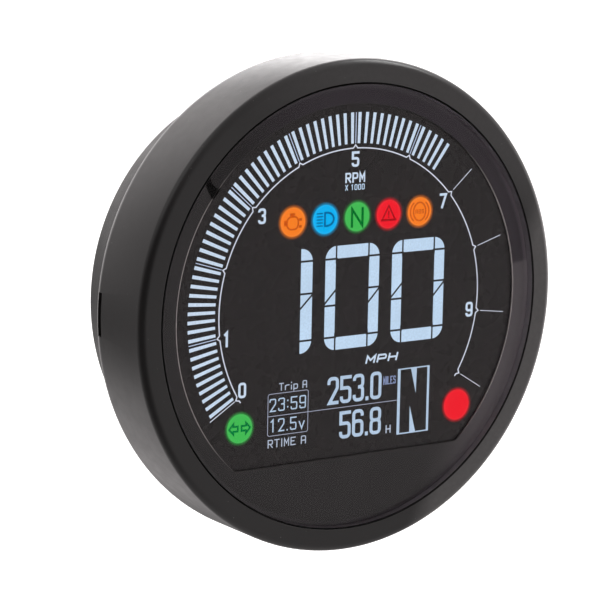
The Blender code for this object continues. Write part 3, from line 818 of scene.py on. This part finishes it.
def on_scale(radius, degrees):
    x, z = polar(radius, degrees)
    return Vector((SCALE_CENTRE[0] + x, SCALE_CENTRE[1] + z))


def tick_angle(thousands):
    return SCALE_START - THOUSAND * thousands


def scale_bars():
    pitch = THOUSAND / BARS_IN_THOUSAND
    inner, outer = BAR_RADII
    shapes = []
    for bar in range(BARS_LIT):
        middle = SCALE_START - pitch * (bar + 0.5)
        start, end = middle - BAR_DEGREES / 2, middle + BAR_DEGREES / 2
        shapes.append([on_scale(inner, start), on_scale(outer, start),
                       on_scale(outer, end), on_scale(inner, end)])
    return shapes


def scale_lines():
    """The thin arc with a pip at each thousand, and the thin radial lines."""
    line = [on_scale(SCALE_RADIUS, SCALE_START + 2 * PIP_HALF)]
    for tick in range(THOUSANDS + 1):
        middle = tick_angle(tick)
        line += [on_scale(SCALE_RADIUS, middle + PIP_HALF), on_scale(PIP_TIP, middle),
                 on_scale(SCALE_RADIUS, middle - PIP_HALF)]
        if tick < THOUSANDS:
            line += arc(SCALE_CENTRE, SCALE_RADIUS, middle - 2 * PIP_HALF,
                        middle - THOUSAND + 2 * PIP_HALF, 14)
    line.append(on_scale(SCALE_RADIUS, tick_angle(THOUSANDS) - 2 * PIP_HALF))
    shapes = ribbon(line, SCALE_LINE)

    inner, outer = BAR_RADII
    shapes += ribbon([on_scale(inner, SCALE_START), on_scale(outer + 0.5, SCALE_START)],
                     START_LINE)
    for tick in range(LAST_LIT_TICK + 1, THOUSANDS + 1):
        middle = tick_angle(tick)
        shapes += ribbon([on_scale(inner + 0.25, middle), on_scale(outer + 0.1, middle)],
                         TICK_LINE)
    return shapes


def scale_hairlines():
    """The hairline between the bars at each lit thousand."""
    shapes = []
    for tick in range(1, LAST_LIT_TICK + 1):
        shapes += ribbon([on_scale(radius, tick_angle(tick)) for radius in BAR_RADII], HAIRLINE)
    return shapes


SCALE_DIGITS = {"0": (-29.2, -16.1), "1": (-33.5, -4.2), "3": (-24.7, 22.6), "5": (0.05, 33.8),
                "7": (24.9, 22.7), "9": (33.3, -3.4)}
SCALE_DIGIT_SIZE = (2.05, 3.5)
SCALE_DIGIT_STROKE, SCALE_DIGIT_BEND = 0.57, 0.5


def scale_digits():
    width, height = SCALE_DIGIT_SIZE
    shapes = []
    for char, (x, z) in SCALE_DIGITS.items():
        shapes += glyph(char, x - width / 2, z - height / 2, width, height, SCALE_DIGIT_STROKE,
                        SCALE_DIGIT_BEND)
    return shapes


# The speed, in three large digits
DIGIT_BOTTOM, DIGIT_TOP = -9.35, 14.45
DIGIT_BAR = 2.88
DIGIT_ROUND = 3.0
DIGIT_GAP = 0.46
ZERO_LEFT, ZERO_RIGHT = -7.5, 7.25
ZERO_PITCH = 18.35
ONE_LEFT, ONE_RIGHT = -14.1, -11.0
UPPER_GAP, LOWER_GAP = 4.2, 0.9
ONE_SLANT, LEFT_SLANT, RIGHT_SLANT = (0.6, 4.1), (1.3, 4.5), (0.7, 4.0)


def strip(start, end):
    return ribbon([start, end], DIGIT_GAP)


def speed_digits():
    """Big digits whose segments are parted by thin gaps, two of them slanted."""
    top_gap, bottom_gap = DIGIT_TOP - DIGIT_BAR, DIGIT_BOTTOM + DIGIT_BAR
    shapes = [rounded([(ONE_LEFT, DIGIT_BOTTOM), (ONE_RIGHT, DIGIT_BOTTOM, DIGIT_ROUND),
                       (ONE_RIGHT, DIGIT_TOP, DIGIT_ROUND), (ONE_LEFT, DIGIT_TOP)], steps=12)]
    cuts = []
    for z in (top_gap, UPPER_GAP, bottom_gap):
        cuts += strip((ONE_LEFT - 1, z), (ONE_RIGHT + 1, z))
    cuts += strip((ONE_LEFT - 0.3, ONE_SLANT[0]), (ONE_RIGHT + 0.3, ONE_SLANT[1]))

    for shift in (0.0, ZERO_PITCH):
        left, right = ZERO_LEFT + shift, ZERO_RIGHT + shift
        inner_left, inner_right = left + DIGIT_BAR - 0.1, right - DIGIT_BAR + 0.1
        shapes.append(rectangle(left, DIGIT_BOTTOM, right, DIGIT_TOP, DIGIT_ROUND, steps=12))
        cuts.append(rectangle(inner_left, bottom_gap, inner_right, top_gap))
        for x in (inner_left + 0.15, inner_right - 0.15):
            cuts += strip((x, DIGIT_BOTTOM - 1), (x, bottom_gap + 1))
            cuts += strip((x, top_gap - 1), (x, DIGIT_TOP + 1))
        for z in (top_gap - 0.05, bottom_gap + 0.05):
            cuts += strip((left - 1, z), (inner_left + 0.5, z))
            cuts += strip((inner_right - 0.5, z), (right + 1, z))
        cuts += strip((left - 1, LOWER_GAP), (inner_left + 0.5, LOWER_GAP))
        cuts += strip((left - 0.2, LEFT_SLANT[0]), (inner_left + 0.2, LEFT_SLANT[1]))
        cuts += strip((inner_right - 0.5, UPPER_GAP), (right + 1, UPPER_GAP))
        cuts += strip((inner_right - 0.2, RIGHT_SLANT[0]), (right + 0.2, RIGHT_SLANT[1]))
    return shapes, cuts


# The lower part: clock, battery voltage, trip, hours and gear
BOX = (-22.3, -27.4, -11.5, -17.8)
BOX_LINE, BOX_ROUND = 0.13, 0.5
DIVIDER_Z = -22.9
GEAR_BOX = (13.3, -31.1, 22.3, -15.6)
GEAR_LEFT, GEAR_RIGHT, GEAR_RAIL = 0.75, 0.6, 0.28  # widths of its four sides
SLIVER_HALF, SLIVER_REACH = 0.85, 6.1


def gear_frame():
    """The frame of the gear display: heavy uprights and thin rails, and two slivers lit."""
    left, bottom, right, top = GEAR_BOX
    shapes = [rectangle(left, bottom, left + GEAR_LEFT, top),
              rectangle(right - GEAR_RIGHT, bottom, right, top),
              rectangle(left, bottom, right, bottom + GEAR_RAIL),
              rectangle(left, top - GEAR_RAIL, right, top)]
    middle, half, reach = (left + right) / 2, SLIVER_HALF, SLIVER_REACH
    shapes.append([(middle - half, top), (middle + half, top), (middle + half - 0.15, top - reach)])
    shapes.append([(middle + half, bottom), (middle - half, bottom),
                   (middle - half - 0.05, bottom + reach + 0.3)])
    return shapes


def info_lines():
    left, bottom, right, top = BOX
    frame_line = ribbon(rectangle(left, bottom, right, top, BOX_ROUND), BOX_LINE, closed=True)
    return frame_line + ribbon([(left, DIVIDER_Z), (GEAR_BOX[0], DIVIDER_Z)], BOX_LINE)


# Styles of the lettering
UNIT_TYPE = {"height": 2.3, "stroke": 0.39, "bend": 0.35}
FACTOR_TYPE = {"height": 1.3, "stroke": 0.18, "bend": 0.15, "gap": 0.3}
SPEED_TYPE = {"height": 1.9, "stroke": 0.42, "bend": 0.35, "slant": 0.27}
READING_TYPE = {"height": 6.4, "stroke": 0.79, "bend": 0.8, "gap": 0.13}
CLOCK_TYPE = {"height": 3.0, "stroke": 0.29, "bend": 0.3, "gap": 0.34, "narrow": 0.23}
LABEL_TYPE = {"height": 1.9, "stroke": 0.23, "bend": 0.25, "gap": 0.3}
HOURS_TYPE = {"height": 1.9, "stroke": 0.28, "bend": 0.0}
MILES_TYPE = {"height": 1.9, "stroke": 0.24, "bend": 0.15}


def make_graphics():
    def ink(name, shapes, colour, cuts=()):
        piece(name, flat_solid(shapes, INK_FRONT, INK_BACK, cuts), lit(f"{name}_light", colour),
              at=ARTWORK_SHIFT)

    ink("scale_bars", scale_bars(), SCALE)
    ink("scale_lines", scale_lines(), LINE)
    ink("scale_hairlines", scale_hairlines(), HAIR)
    ink("scale_digits", scale_digits(), SCALE)
    ink("scale_unit", lettering("RPM", -2.6, 2.8, 28.5, **UNIT_TYPE), SCALE)
    ink("scale_factor", lettering("X 1000", -2.6, 2.7, 26.8, **FACTOR_TYPE), LIT)
    shapes, cuts = speed_digits()
    ink("speed_digits", shapes, LIT, cuts)
    ink("speed_unit", lettering("MPH", 4.0, 13.3, -13.45, **SPEED_TYPE), SCALE)
    ink("trip_digits", lettering("253.0", -6.3, 8.7, -22.0, **READING_TYPE), SMALL)
    ink("hours_digits", lettering("56.8", -2.8, 8.8, -30.25, **READING_TYPE), SMALL)
    ink("clock_and_volts", lettering("23:59", -21.9, -12.1, -21.9, **CLOCK_TYPE)
        + lettering("12.5v", -21.8, -12.3, -26.6, **CLOCK_TYPE), SMALL)
    ink("info_labels", lettering("Trip A", -19.4, -11.9, -17.25, **LABEL_TYPE | {"height": 1.75})
        + lettering("RTIME A", -22.2, -11.9, -30.15, **LABEL_TYPE)
        + lettering("H", 10.2, 11.6, -30.4, **HOURS_TYPE), LABEL)
    ink("trip_unit", lettering("MILES", 9.2, 12.7, -18.9, **MILES_TYPE), BLURRED)
    ink("info_lines", info_lines(), FAINT)
    ink("gear_frame", gear_frame(), SMALL)


# ------------------------------------------------------------------ lamps

LAMP_RADIUS, ALARM_RADIUS = 3.28, 3.6
LAMP_GLOW = 0.8
LAMP_BACK = INK_FRONT - 0.02
LAMP_FRONT = LAMP_BACK - 0.05
SYMBOL_FRONT = LAMP_FRONT - 0.05
ORANGE, BLUE = screen(245, 127, 34), screen(0, 176, 240)
GREEN, RED = screen(64, 184, 82), screen(238, 24, 40)


def engine_symbol():
    """An engine block in outline, with its filler cap, fan and pulley."""
    block = rounded([(-1.6, -1.65, 1.2), (1.4, -1.65, 1.1), (1.4, 1.2, 1.1), (-1.6, 1.2, 1.2)])
    shapes = ribbon(block, 0.36, closed=True)
    shapes += [rectangle(-0.85, 1.45, 0.5, 2.0), rectangle(-0.4, 1.1, 0.1, 1.6)]
    shapes += [rectangle(1.6, 0.2, 2.35, 0.75), rectangle(1.6, -1.35, 2.3, -0.8)]
    return shapes + [rectangle(-2.35, -0.75, -1.8, 0.45)]


def beam_symbol():
    lamp = [Vector((-0.1, 1.5)), *arc((0.3, 0.0), 1.5, 90, -90, 20), Vector((-0.1, -1.5))]
    lamp = [Vector((point.x * 1.25, point.y)) for point in lamp]
    shapes = ribbon(lamp, 0.46, closed=True)
    for row in range(5):
        z = 1.4 - 0.7 * row
        shapes += ribbon([(-2.35, z), (-0.7, z)], 0.30)
    return shapes


def neutral_symbol():
    return glyph("N", -1.75, -2.4, 3.5, 4.5, 0.64, 0.0)


def warning_symbol():
    shapes = ribbon([(-1.8, -1.3), (0.0, 1.9), (1.8, -1.3)], 0.34)
    shapes += ribbon([(-2.1, -1.35), (2.1, -1.35)], 0.46)
    return shapes + ribbon([(0.0, 0.7), (0.0, -0.3)], 0.34) + [circle((0.0, -0.75), 0.2, 16)]


def brake_symbol():
    ring = [Vector((1.7 * point.x, 2.1 * point.y)) for point in circle((0, 0), 1.0)]
    shapes = ribbon(ring, 0.38, closed=True)
    for side in (0, 180):
        shapes += ribbon(arc((0, 0), 2.6, side - 52, side + 52), 0.32)
    return shapes + lettering("ABS", -1.2, 1.2, -0.5, height=1.0, stroke=0.2, bend=0.0, gap=0.3)


def turn_symbol():
    """Two hollow arrows that point apart."""
    shapes = []
    for side in (-1, 1):
        head, neck, tail = 2.75 * side, 1.65 * side, 0.5 * side
        outline = [(head, 0.0), (neck, 1.2), (neck, 0.55), (tail, 0.55), (tail, -0.55),
                   (neck, -0.55), (neck, -1.2)]
        shapes += ribbon(outline, 0.44, closed=True)
    return shapes


LAMPS = (  # name, colour, colour and outline of its symbol, radius and slot
    ("engine", ORANGE, screen(214, 84, 16), engine_symbol, LAMP_RADIUS, "lamp_orange"),
    ("beam", BLUE, screen(0, 106, 168), beam_symbol, LAMP_RADIUS, "lamp_blue"),
    ("neutral", GREEN, screen(0, 116, 42), neutral_symbol, LAMP_RADIUS, "lamp_green"),
    ("warning", RED, screen(172, 12, 20), warning_symbol, LAMP_RADIUS, "lamp_red"),
    ("brake", ORANGE, screen(222, 92, 24), brake_symbol, LAMP_RADIUS, "lamp_orange"),
    ("turn", GREEN, screen(0, 126, 60), turn_symbol, LAMP_RADIUS, "lamp_green"),
    ("alarm", RED, None, None, ALARM_RADIUS, "lamp_red"),
)


def make_lamps():
    for index, (name, colour, ink, symbol, radius, slot) in enumerate(LAMPS, start=1):
        place = centre_of(f"lamp_pipe_{index}")
        disc = flat_solid([circle((0, 0), radius + LAMP_GLOW, 96)], LAMP_FRONT, LAMP_BACK)
        piece(f"{name}_lamp", disc, lamp_light(f"{name}_glow", colour, radius, LAMP_GLOW),
              at=place)
        if symbol:
            shape = flat_solid(symbol(), SYMBOL_FRONT, LAMP_FRONT - 0.01)
            piece(f"{name}_symbol", shape, lit(f"{name}_ink", ink, 0.25), at=place)


# ------------------------------------------------------------------ back of the housing

CASE_RADIUS, CASE_END_RADIUS = 48.2, 47.9
CASE_BACK = 36.8
CASE_WALL = 2.5
FLANGE_THICKNESS = 2.0
PAD_RADIUS = 24.0
INSERT_BOSS, BUTTON_BOSS, BUTTON_HOLE, VENT_HOLE = 5.6, 6.6, 4.6, 3.5
INSERTS = [centre_of(f"thread_insert_{index}") for index in (1, 2, 3)]
BUTTONS = {"select": "select_button", "adjust": "adjust_button"}
GUIDE_FRONT = 28.0
CONNECTOR = centre_of("connector_housing")
CONNECTOR_LIP = 1.5
SOCKET_WALL, SOCKET_FLOOR = 1.5, 23.5
PIN_HOLE = 0.9
SHANK_RADIUS, HEAD_HEIGHT, HEX_RADIUS, HEX_DEPTH = 1.1, 1.5, 0.95, 1.0
VENT_STEM, DISH_RADIUS, DISH_DEPTH = 3.2, 2.6, 0.35
BREATHER_RING, BREATHER_RADIUS = 1.4, 0.35
KEY_RADIUS, KEY_STEM, COLLAR_RADIUS, GROOVE_RADIUS, SEAL_BORE = 4.2, 1.6, 5.6, 3.0, 3.3
COLLAR_FRONT, COLLAR_BACK, GROOVE_FRONT, GROOVE_BACK = 26.5, 27.7, 30.4, 32.4


def block(centre, half_width, half_height, radius=0.0):
    """The outline of a block, which may have round corners."""
    x, z = centre
    return rectangle(x - half_width, z - half_height, x + half_width, z + half_height, radius)


def socket_outline(growth, radius):
    """The outline of the harness socket, grown outwards, with a corner radius."""
    half_width, half_height = half_size_of("connector_housing")
    return block(CONNECTOR, half_width + growth, half_height + growth, radius)


def make_rear_case():
    flange_back = FLANGE_FRONT + FLANGE_THICKNESS
    inside = CASE_BACK - CASE_WALL
    section = rounded([
        (0.0, inside), (CASE_END_RADIUS - CASE_WALL, inside, 0.5),
        (CASE_RADIUS - CASE_WALL, FLANGE_FRONT), (FLANGE_RADIUS, FLANGE_FRONT, 0.2),
        (FLANGE_RADIUS, flange_back, 0.2), (CASE_RADIUS, flange_back, 0.5),
        (CASE_END_RADIUS, CASE_BACK, 0.6), (PAD_RADIUS, CASE_BACK, 0.3),
        (PAD_RADIUS - 0.2, CASE_END, 0.4), (0.0, CASE_END)], steps=6)
    insert_depth = depths_of("thread_insert_1")[0]
    button_places = [centre_of(f"button_{name}") for name in BUTTONS]
    opening = drawn(lambda growth: socket_outline(growth, 1.0),
                    [(GAP - CONNECTOR_LIP, inside - 1), (GAP - CONNECTOR_LIP, CASE_BACK + 1)])
    mesh = carved(
        turned(section),
        ("UNION", cylinders(INSERTS, INSERT_BOSS, insert_depth - 2.4, inside + 0.5)),
        ("UNION", cylinders(button_places, BUTTON_BOSS, GUIDE_FRONT, inside + 0.5)),
        ("DIFFERENCE", cylinders(INSERTS, radius_of("thread_insert_1") + GAP,
                                 insert_depth - GAP, CASE_END + 1)),
        ("DIFFERENCE", cylinders(button_places, BUTTON_HOLE, GUIDE_FRONT - 1, CASE_BACK + 1)),
        ("DIFFERENCE", opening),
        ("DIFFERENCE", cylinders([centre_of("vent_plug")], VENT_HOLE, inside - 1, CASE_BACK + 1)),
        ("DIFFERENCE", cylinders(CASE_SCREWS, SCREW_HOLE, FLANGE_FRONT - 1, flange_back + 1)))
    piece("case_shell", mesh, moulded_black("moulded_case", 0.3, 0.36, 0.020, 0.030),
          stands_for=["rear_case"])


def make_case_screws(finish):
    front, back = depths_of("case_screw_1")
    head, shank = radius_of("case_screw_1"), SHANK_RADIUS
    neck = back - HEAD_HEIGHT
    section = rounded([(0.0, front), (shank - 0.3, front), (shank, front + 0.4), (shank, neck),
                       (head, neck), (head, back, 0.45), (0.0, back)], steps=5)
    socket = cylinders([(0, 0)], HEX_RADIUS, back - HEX_DEPTH, back + 1, 6)
    mesh = carved(turned(section, 48), ("DIFFERENCE", socket))
    for index, place in enumerate(CASE_SCREWS, start=1):
        piece(f"flange_screw_{index}", mesh.copy(), finish,
              stands_for=[f"case_screw_{index}"], at=place)


def make_inserts():
    """Brass inserts, with the crests of their threads down the bore."""
    front, back = depths_of("thread_insert_1")
    outside, bore, pitch = radius_of("thread_insert_1"), 2.1, 0.8
    threads = [(bore, front)]
    count = int((back - front - 0.6) / pitch)
    for turn in range(count):
        start = front + 0.1 + turn * pitch
        threads += [(bore, start), (bore + 0.35, start + 0.3), (bore + 0.35, start + 0.4),
                    (bore, start + 0.7)]
    section = threads + [(bore, back - 0.45), (bore + 0.45, back), (outside - 0.15, back),
                         (outside, back - 0.15), (outside, front)]
    look = Finish("insert_brass", metallic=1.0)
    look.paint(look.noise(1.6, 4), (0.72, 0.50, 0.20), (0.56, 0.38, 0.15))
    look.dull(0.6, 3, 0.22, 0.40)
    look.bump(turning_marks(look, INSERT_MARKS), 0.002, 0.4)
    for index, place in enumerate(INSERTS, start=1):
        piece(f"insert_{index}", turned(section, SMALL_STEPS), look.material,
              stands_for=[f"thread_insert_{index}"], at=place)


def make_vent():
    front, back = depths_of("vent_plug")
    cap, stem = radius_of("vent_plug"), VENT_STEM
    cap_front, dish = CASE_BACK + GAP, back - DISH_DEPTH
    section = rounded([(0.0, front), (stem, front), (stem, cap_front), (cap, cap_front),
                       (cap, back, 0.4), (DISH_RADIUS, back, 0.15), (DISH_RADIUS - 0.2, dish),
                       (0.0, dish)], steps=5)
    breathers = cylinders([polar(BREATHER_RING, 60 * k) for k in range(6)], BREATHER_RADIUS,
                          back - 0.8, back + 1, 20)
    mesh = carved(turned(section, SMALL_STEPS), ("DIFFERENCE", breathers))
    piece("breather_cap", mesh, moulded_black("moulded_vent", 0.35, 0.55, 0.022, 0.034),
          stands_for=["vent_plug"], at=centre_of("vent_plug"))


def make_connector(pin_finish):
    """The sealed connector: a shrouded socket with a lip, and four flat pins."""
    front, back = depths_of("connector_housing")
    lip_front = CASE_BACK + GAP
    mouth = -CONNECTOR_LIP - SOCKET_WALL
    shell = drawn(
        lambda growth: socket_outline(growth, 1.6 + growth if growth > -CONNECTOR_LIP else 0.6),
        [(-CONNECTOR_LIP, front), (-CONNECTOR_LIP, lip_front), (0.0, lip_front),
         (0.0, back - 0.3), (-0.3, back), (mouth + 0.3, back), (mouth, back - 0.3),
         (mouth, SOCKET_FLOOR)])
    pins = [f"connector_pin_{index}" for index in (1, 2, 3, 4)]
    sleeves = joined([drawn(lambda growth: block(centre_of(pin), growth, growth),
                            [(PIN_HOLE, front - 1), (PIN_HOLE, SOCKET_FLOOR + 1)])
                      for pin in pins])
    piece("connector_shroud", carved(shell, ("DIFFERENCE", sleeves)),
          moulded_black("moulded_connector", 0.4, 0.45),
          stands_for=["connector_housing"])

    for index, node in enumerate(pins, start=1):
        half = radius_of(node)
        start, tip = depths_of(node)
        pin = drawn(lambda growth: block(centre_of(node), half + growth, half + growth, 0.12),
                    [(0.0, start), (0.0, tip - 1.0), (-0.3, tip)])
        piece(f"pin_{index}", pin, pin_finish, stands_for=[node])


def make_buttons():
    rubbery = moulded_black("button_rubber", 0.3, 0.6, 0.010, 0.018)
    seal_finish = rubber("seal_rubber")
    for name, body in BUTTONS.items():
        node = f"button_{name}"
        place = centre_of(node)
        front, back = depths_of(node)
        section = rounded([
            (0.0, front), (KEY_STEM, front, 0.2), (KEY_STEM, COLLAR_FRONT),
            (COLLAR_RADIUS, COLLAR_FRONT, 0.2), (COLLAR_RADIUS, COLLAR_BACK, 0.2),
            (KEY_RADIUS, COLLAR_BACK), (KEY_RADIUS, GROOVE_FRONT), (GROOVE_RADIUS, GROOVE_FRONT),
            (GROOVE_RADIUS, GROOVE_BACK), (KEY_RADIUS, GROOVE_BACK), (KEY_RADIUS, back, 0.8),
            (3.1, back, 0.3), (2.7, back - 0.45, 0.4), (0.0, back - 0.3)], steps=6)
        piece(f"{name}_key", turned(section, SMALL_STEPS), rubbery, body,
              [node], place)
        seal = f"button_{name}_seal"
        seal_front, seal_back = depths_of(seal)
        inner, outer = SEAL_BORE, radius_of(seal)
        half = (outer - inner) / 2
        ring = rounded([(inner, seal_front, half), (outer, seal_front, half),
                        (outer, seal_back, half), (inner, seal_back, half)], steps=6)
        piece(f"{name}_o_ring", turned(ring, SMALL_STEPS), seal_finish, body,
              [seal], place)


# ------------------------------------------------------------------ carried-over CAD parts

def dress_cad_nodes(steel_finish):
    """Gives every CAD node that stays its own procedural finish."""
    chip = moulded_black("chip_epoxy", 0.3, 0.5, 0.02, 0.03)
    white = plain_plastic("white_plastic", (0.78, 0.78, 0.75))
    finishes = {
        "backlight_diffuser": white, "lcd_holder": white,
        "backlight_led": plain_plastic("led_package", (0.80, 0.79, 0.70), 0.35, 0.2),
        "lamp_led": plain_plastic("lamp_package", (0.82, 0.80, 0.72), 0.35, 0.2),
        "light_guide": plain_plastic("light_guide", (0.80, 0.85, 0.88), 0.15, 0.8),
        "board_screw": steel_finish, "case_gasket": rubber("gasket_rubber"),
        "lens_seal": rubber("lens_seal_rubber"), "lcd_rear_glass": display_black(),
        "clock_crystal": steel("crystal_can", (0.66, 0.65, 0.62), 0.22),
        "power_capacitor": steel("capacitor_can", (0.58, 0.59, 0.61), 0.30),
        "microcontroller": chip, "lcd_driver": chip, "voltage_regulator": chip,
        "pcb": circuit_board(), "zebra_strip": striped_rubber(),
        "switch_adjust_body": chip, "switch_select_body": chip,
        "switch_adjust_plunger": plain_plastic("plunger_red", (0.42, 0.03, 0.02)),
        "switch_select_plunger": plain_plastic("plunger_dark_red", (0.40, 0.03, 0.02)),
    }
    for index, (_, colour, *_) in enumerate(LAMPS, start=1):
        finishes[f"lamp_pipe_{index}"] = plain_plastic(f"lamp_pipe_{index}", colour, 0.2)
    for name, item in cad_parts.items():
        if item.hide_render:
            continue
        family = name if name in finishes else name.rstrip("0123456789").rstrip("_")
        item.data.materials.clear()
        item.data.materials.append(finishes[family])


# ------------------------------------------------------------------ studio

def aimed(item, target, roll=0.0):
    """Turns a light or camera towards a point, leaning by the roll in degrees."""
    forward = (Vector(target) - item.location).normalized()
    item.rotation_mode = "QUATERNION"
    lean = Matrix.Rotation(math.radians(roll), 3, "Z")
    item.rotation_quaternion = (forward.to_track_quat("-Z", "Y").to_matrix() @ lean
                                ).to_quaternion()


def direction(azimuth, elevation):
    """Unit vector from the object: azimuth 0 is in front of the dial, and 90 to its right."""
    a, e = math.radians(azimuth), math.radians(elevation)
    return Vector((math.sin(a) * math.cos(e), -math.cos(a) * math.cos(e), math.sin(e)))


CAMERA_SIDE = -35.15  # degrees round from the front, to the rider's left
CAMERA_HEIGHT = 10.67
CAMERA_DISTANCE = 0.6269  # metres
CAMERA_ROLL = 1.10
LENS_LENGTH = 164.2
AIM = Vector((-0.01385, 0.0, 0.00203))  # metres from the middle of the dial
FLOOR_DROP = 0.10  # metres below the housing
FLOOR_SIZE = 60.0  # metres


def add_light(name, azimuth, elevation, distance, size, power, roll=0.0):
    """A soft light aimed at the object, with its distance and size in metres."""
    data = bpy.data.lights.new(name, "AREA")
    data.shape = "RECTANGLE"
    data.size, data.size_y = size
    data.energy = power
    item = placed(name, data)
    middle = (CAD_BOX[0] + CAD_BOX[1]) / 2
    item.location = middle + direction(azimuth, elevation) * distance
    aimed(item, middle, roll)
    item.visible_camera = False


def make_floor():
    look = Finish("studio_floor", roughness=0.8, gloss=0.1)
    look.paint(look.noise(300), (0.86, 0.86, 0.86), (0.90, 0.90, 0.90))
    look.set("Emission Color", (1.0, 1.0, 1.0, 1.0))
    look.set("Emission Strength", 0.55)
    bm = bmesh.new()
    level = CAD_BOX[0].z - FLOOR_DROP
    bmesh.ops.create_grid(bm, x_segments=8, y_segments=8, size=FLOOR_SIZE / 2,
                          matrix=Matrix.Translation((0, 0, level)))
    floor = placed("floor", finished(bm))
    floor.data.materials.append(look.material)
    floor.visible_glossy = False


AMBIENT = 0.54
LOBES = (  # azimuth, elevation, degrees to the inner and outer edge, and what it adds
    (164, 22.5, 6.5, 48.5, 1.58),  # bright wall behind, to the right
    (157, 36.5, 4, 16, -1.13),  # less bright patch of that wall, higher up
    (-158, -15, 2, 14, -0.84),  # dark corner behind, to the left
    (-170, -33, 17, 29, 0.62),  # pale floor behind
    (-54, -10, 25, 68, -0.52),  # dark of the room round the camera
    (148, -20, 6, 22, -0.26),  # shaded edge of that floor
    (88, -8, 5, 30, 1.4),  # window on the right
)


def make_world():
    """Pale surroundings in which a few directions light the object more or less."""
    world = bpy.data.worlds.new("studio")
    bpy.context.scene.world = world
    world.use_nodes = True
    nodes = Nodes(world.node_tree)
    sky = nodes.tree.nodes["Background"].inputs
    sky["Color"].default_value = (1.0, 0.955, 0.955, 1.0)
    place = nodes.add("TexCoord").outputs["Generated"]
    strength = AMBIENT
    for azimuth, elevation, inner, outer, amount in LOBES:
        towards = nodes.dot(place, direction(azimuth, elevation))
        lobe = nodes.between(towards, math.cos(math.radians(outer)),
                             math.cos(math.radians(inner)), 0.0, amount)
        strength = nodes.maths("ADD", lobe, strength)
    seen = nodes.add("LightPath").outputs["Is Camera Ray"]
    shown = nodes.add("Mix", {"Factor": seen, "A": strength, "B": 1.0})
    nodes.tree.links.new(shown.outputs["Result"], sky["Strength"])


def make_camera():
    data = bpy.data.cameras.new("camera")
    data.lens = LENS_LENGTH
    data.sensor_width = 36.0
    camera = placed("camera", data)
    scene = bpy.context.scene
    dial = Vector((0.0, FRONT_Y, 0.0))
    camera.location = dial + direction(CAMERA_SIDE, CAMERA_HEIGHT) * CAMERA_DISTANCE
    aimed(camera, dial + AIM, CAMERA_ROLL)
    scene.camera = camera
    scene.view_settings.view_transform = "Standard"


def make_studio():
    make_floor()
    make_world()
    make_camera()
    add_light("rim_light", 144, 18, 1.1, (0.8, 0.4), 2.0)
    add_light("edge_light", 80, 46, 1.0, (0.6, 0.07), 3.4, 40)
    add_light("fill_light", -100, 45, 1.2, (0.8, 0.8), 1.0)


# ------------------------------------------------------------------ build

make_bezel()
make_lens()
make_mask()
make_display_glass()
make_graphics()
make_lamps()
make_rear_case()
bright_steel = steel("plated_steel")
make_case_screws(bright_steel)
make_inserts()
make_vent()
make_connector(steel("tin_plate", (0.74, 0.72, 0.66), 0.25))
make_buttons()
dress_cad_nodes(bright_steel)
make_studio()
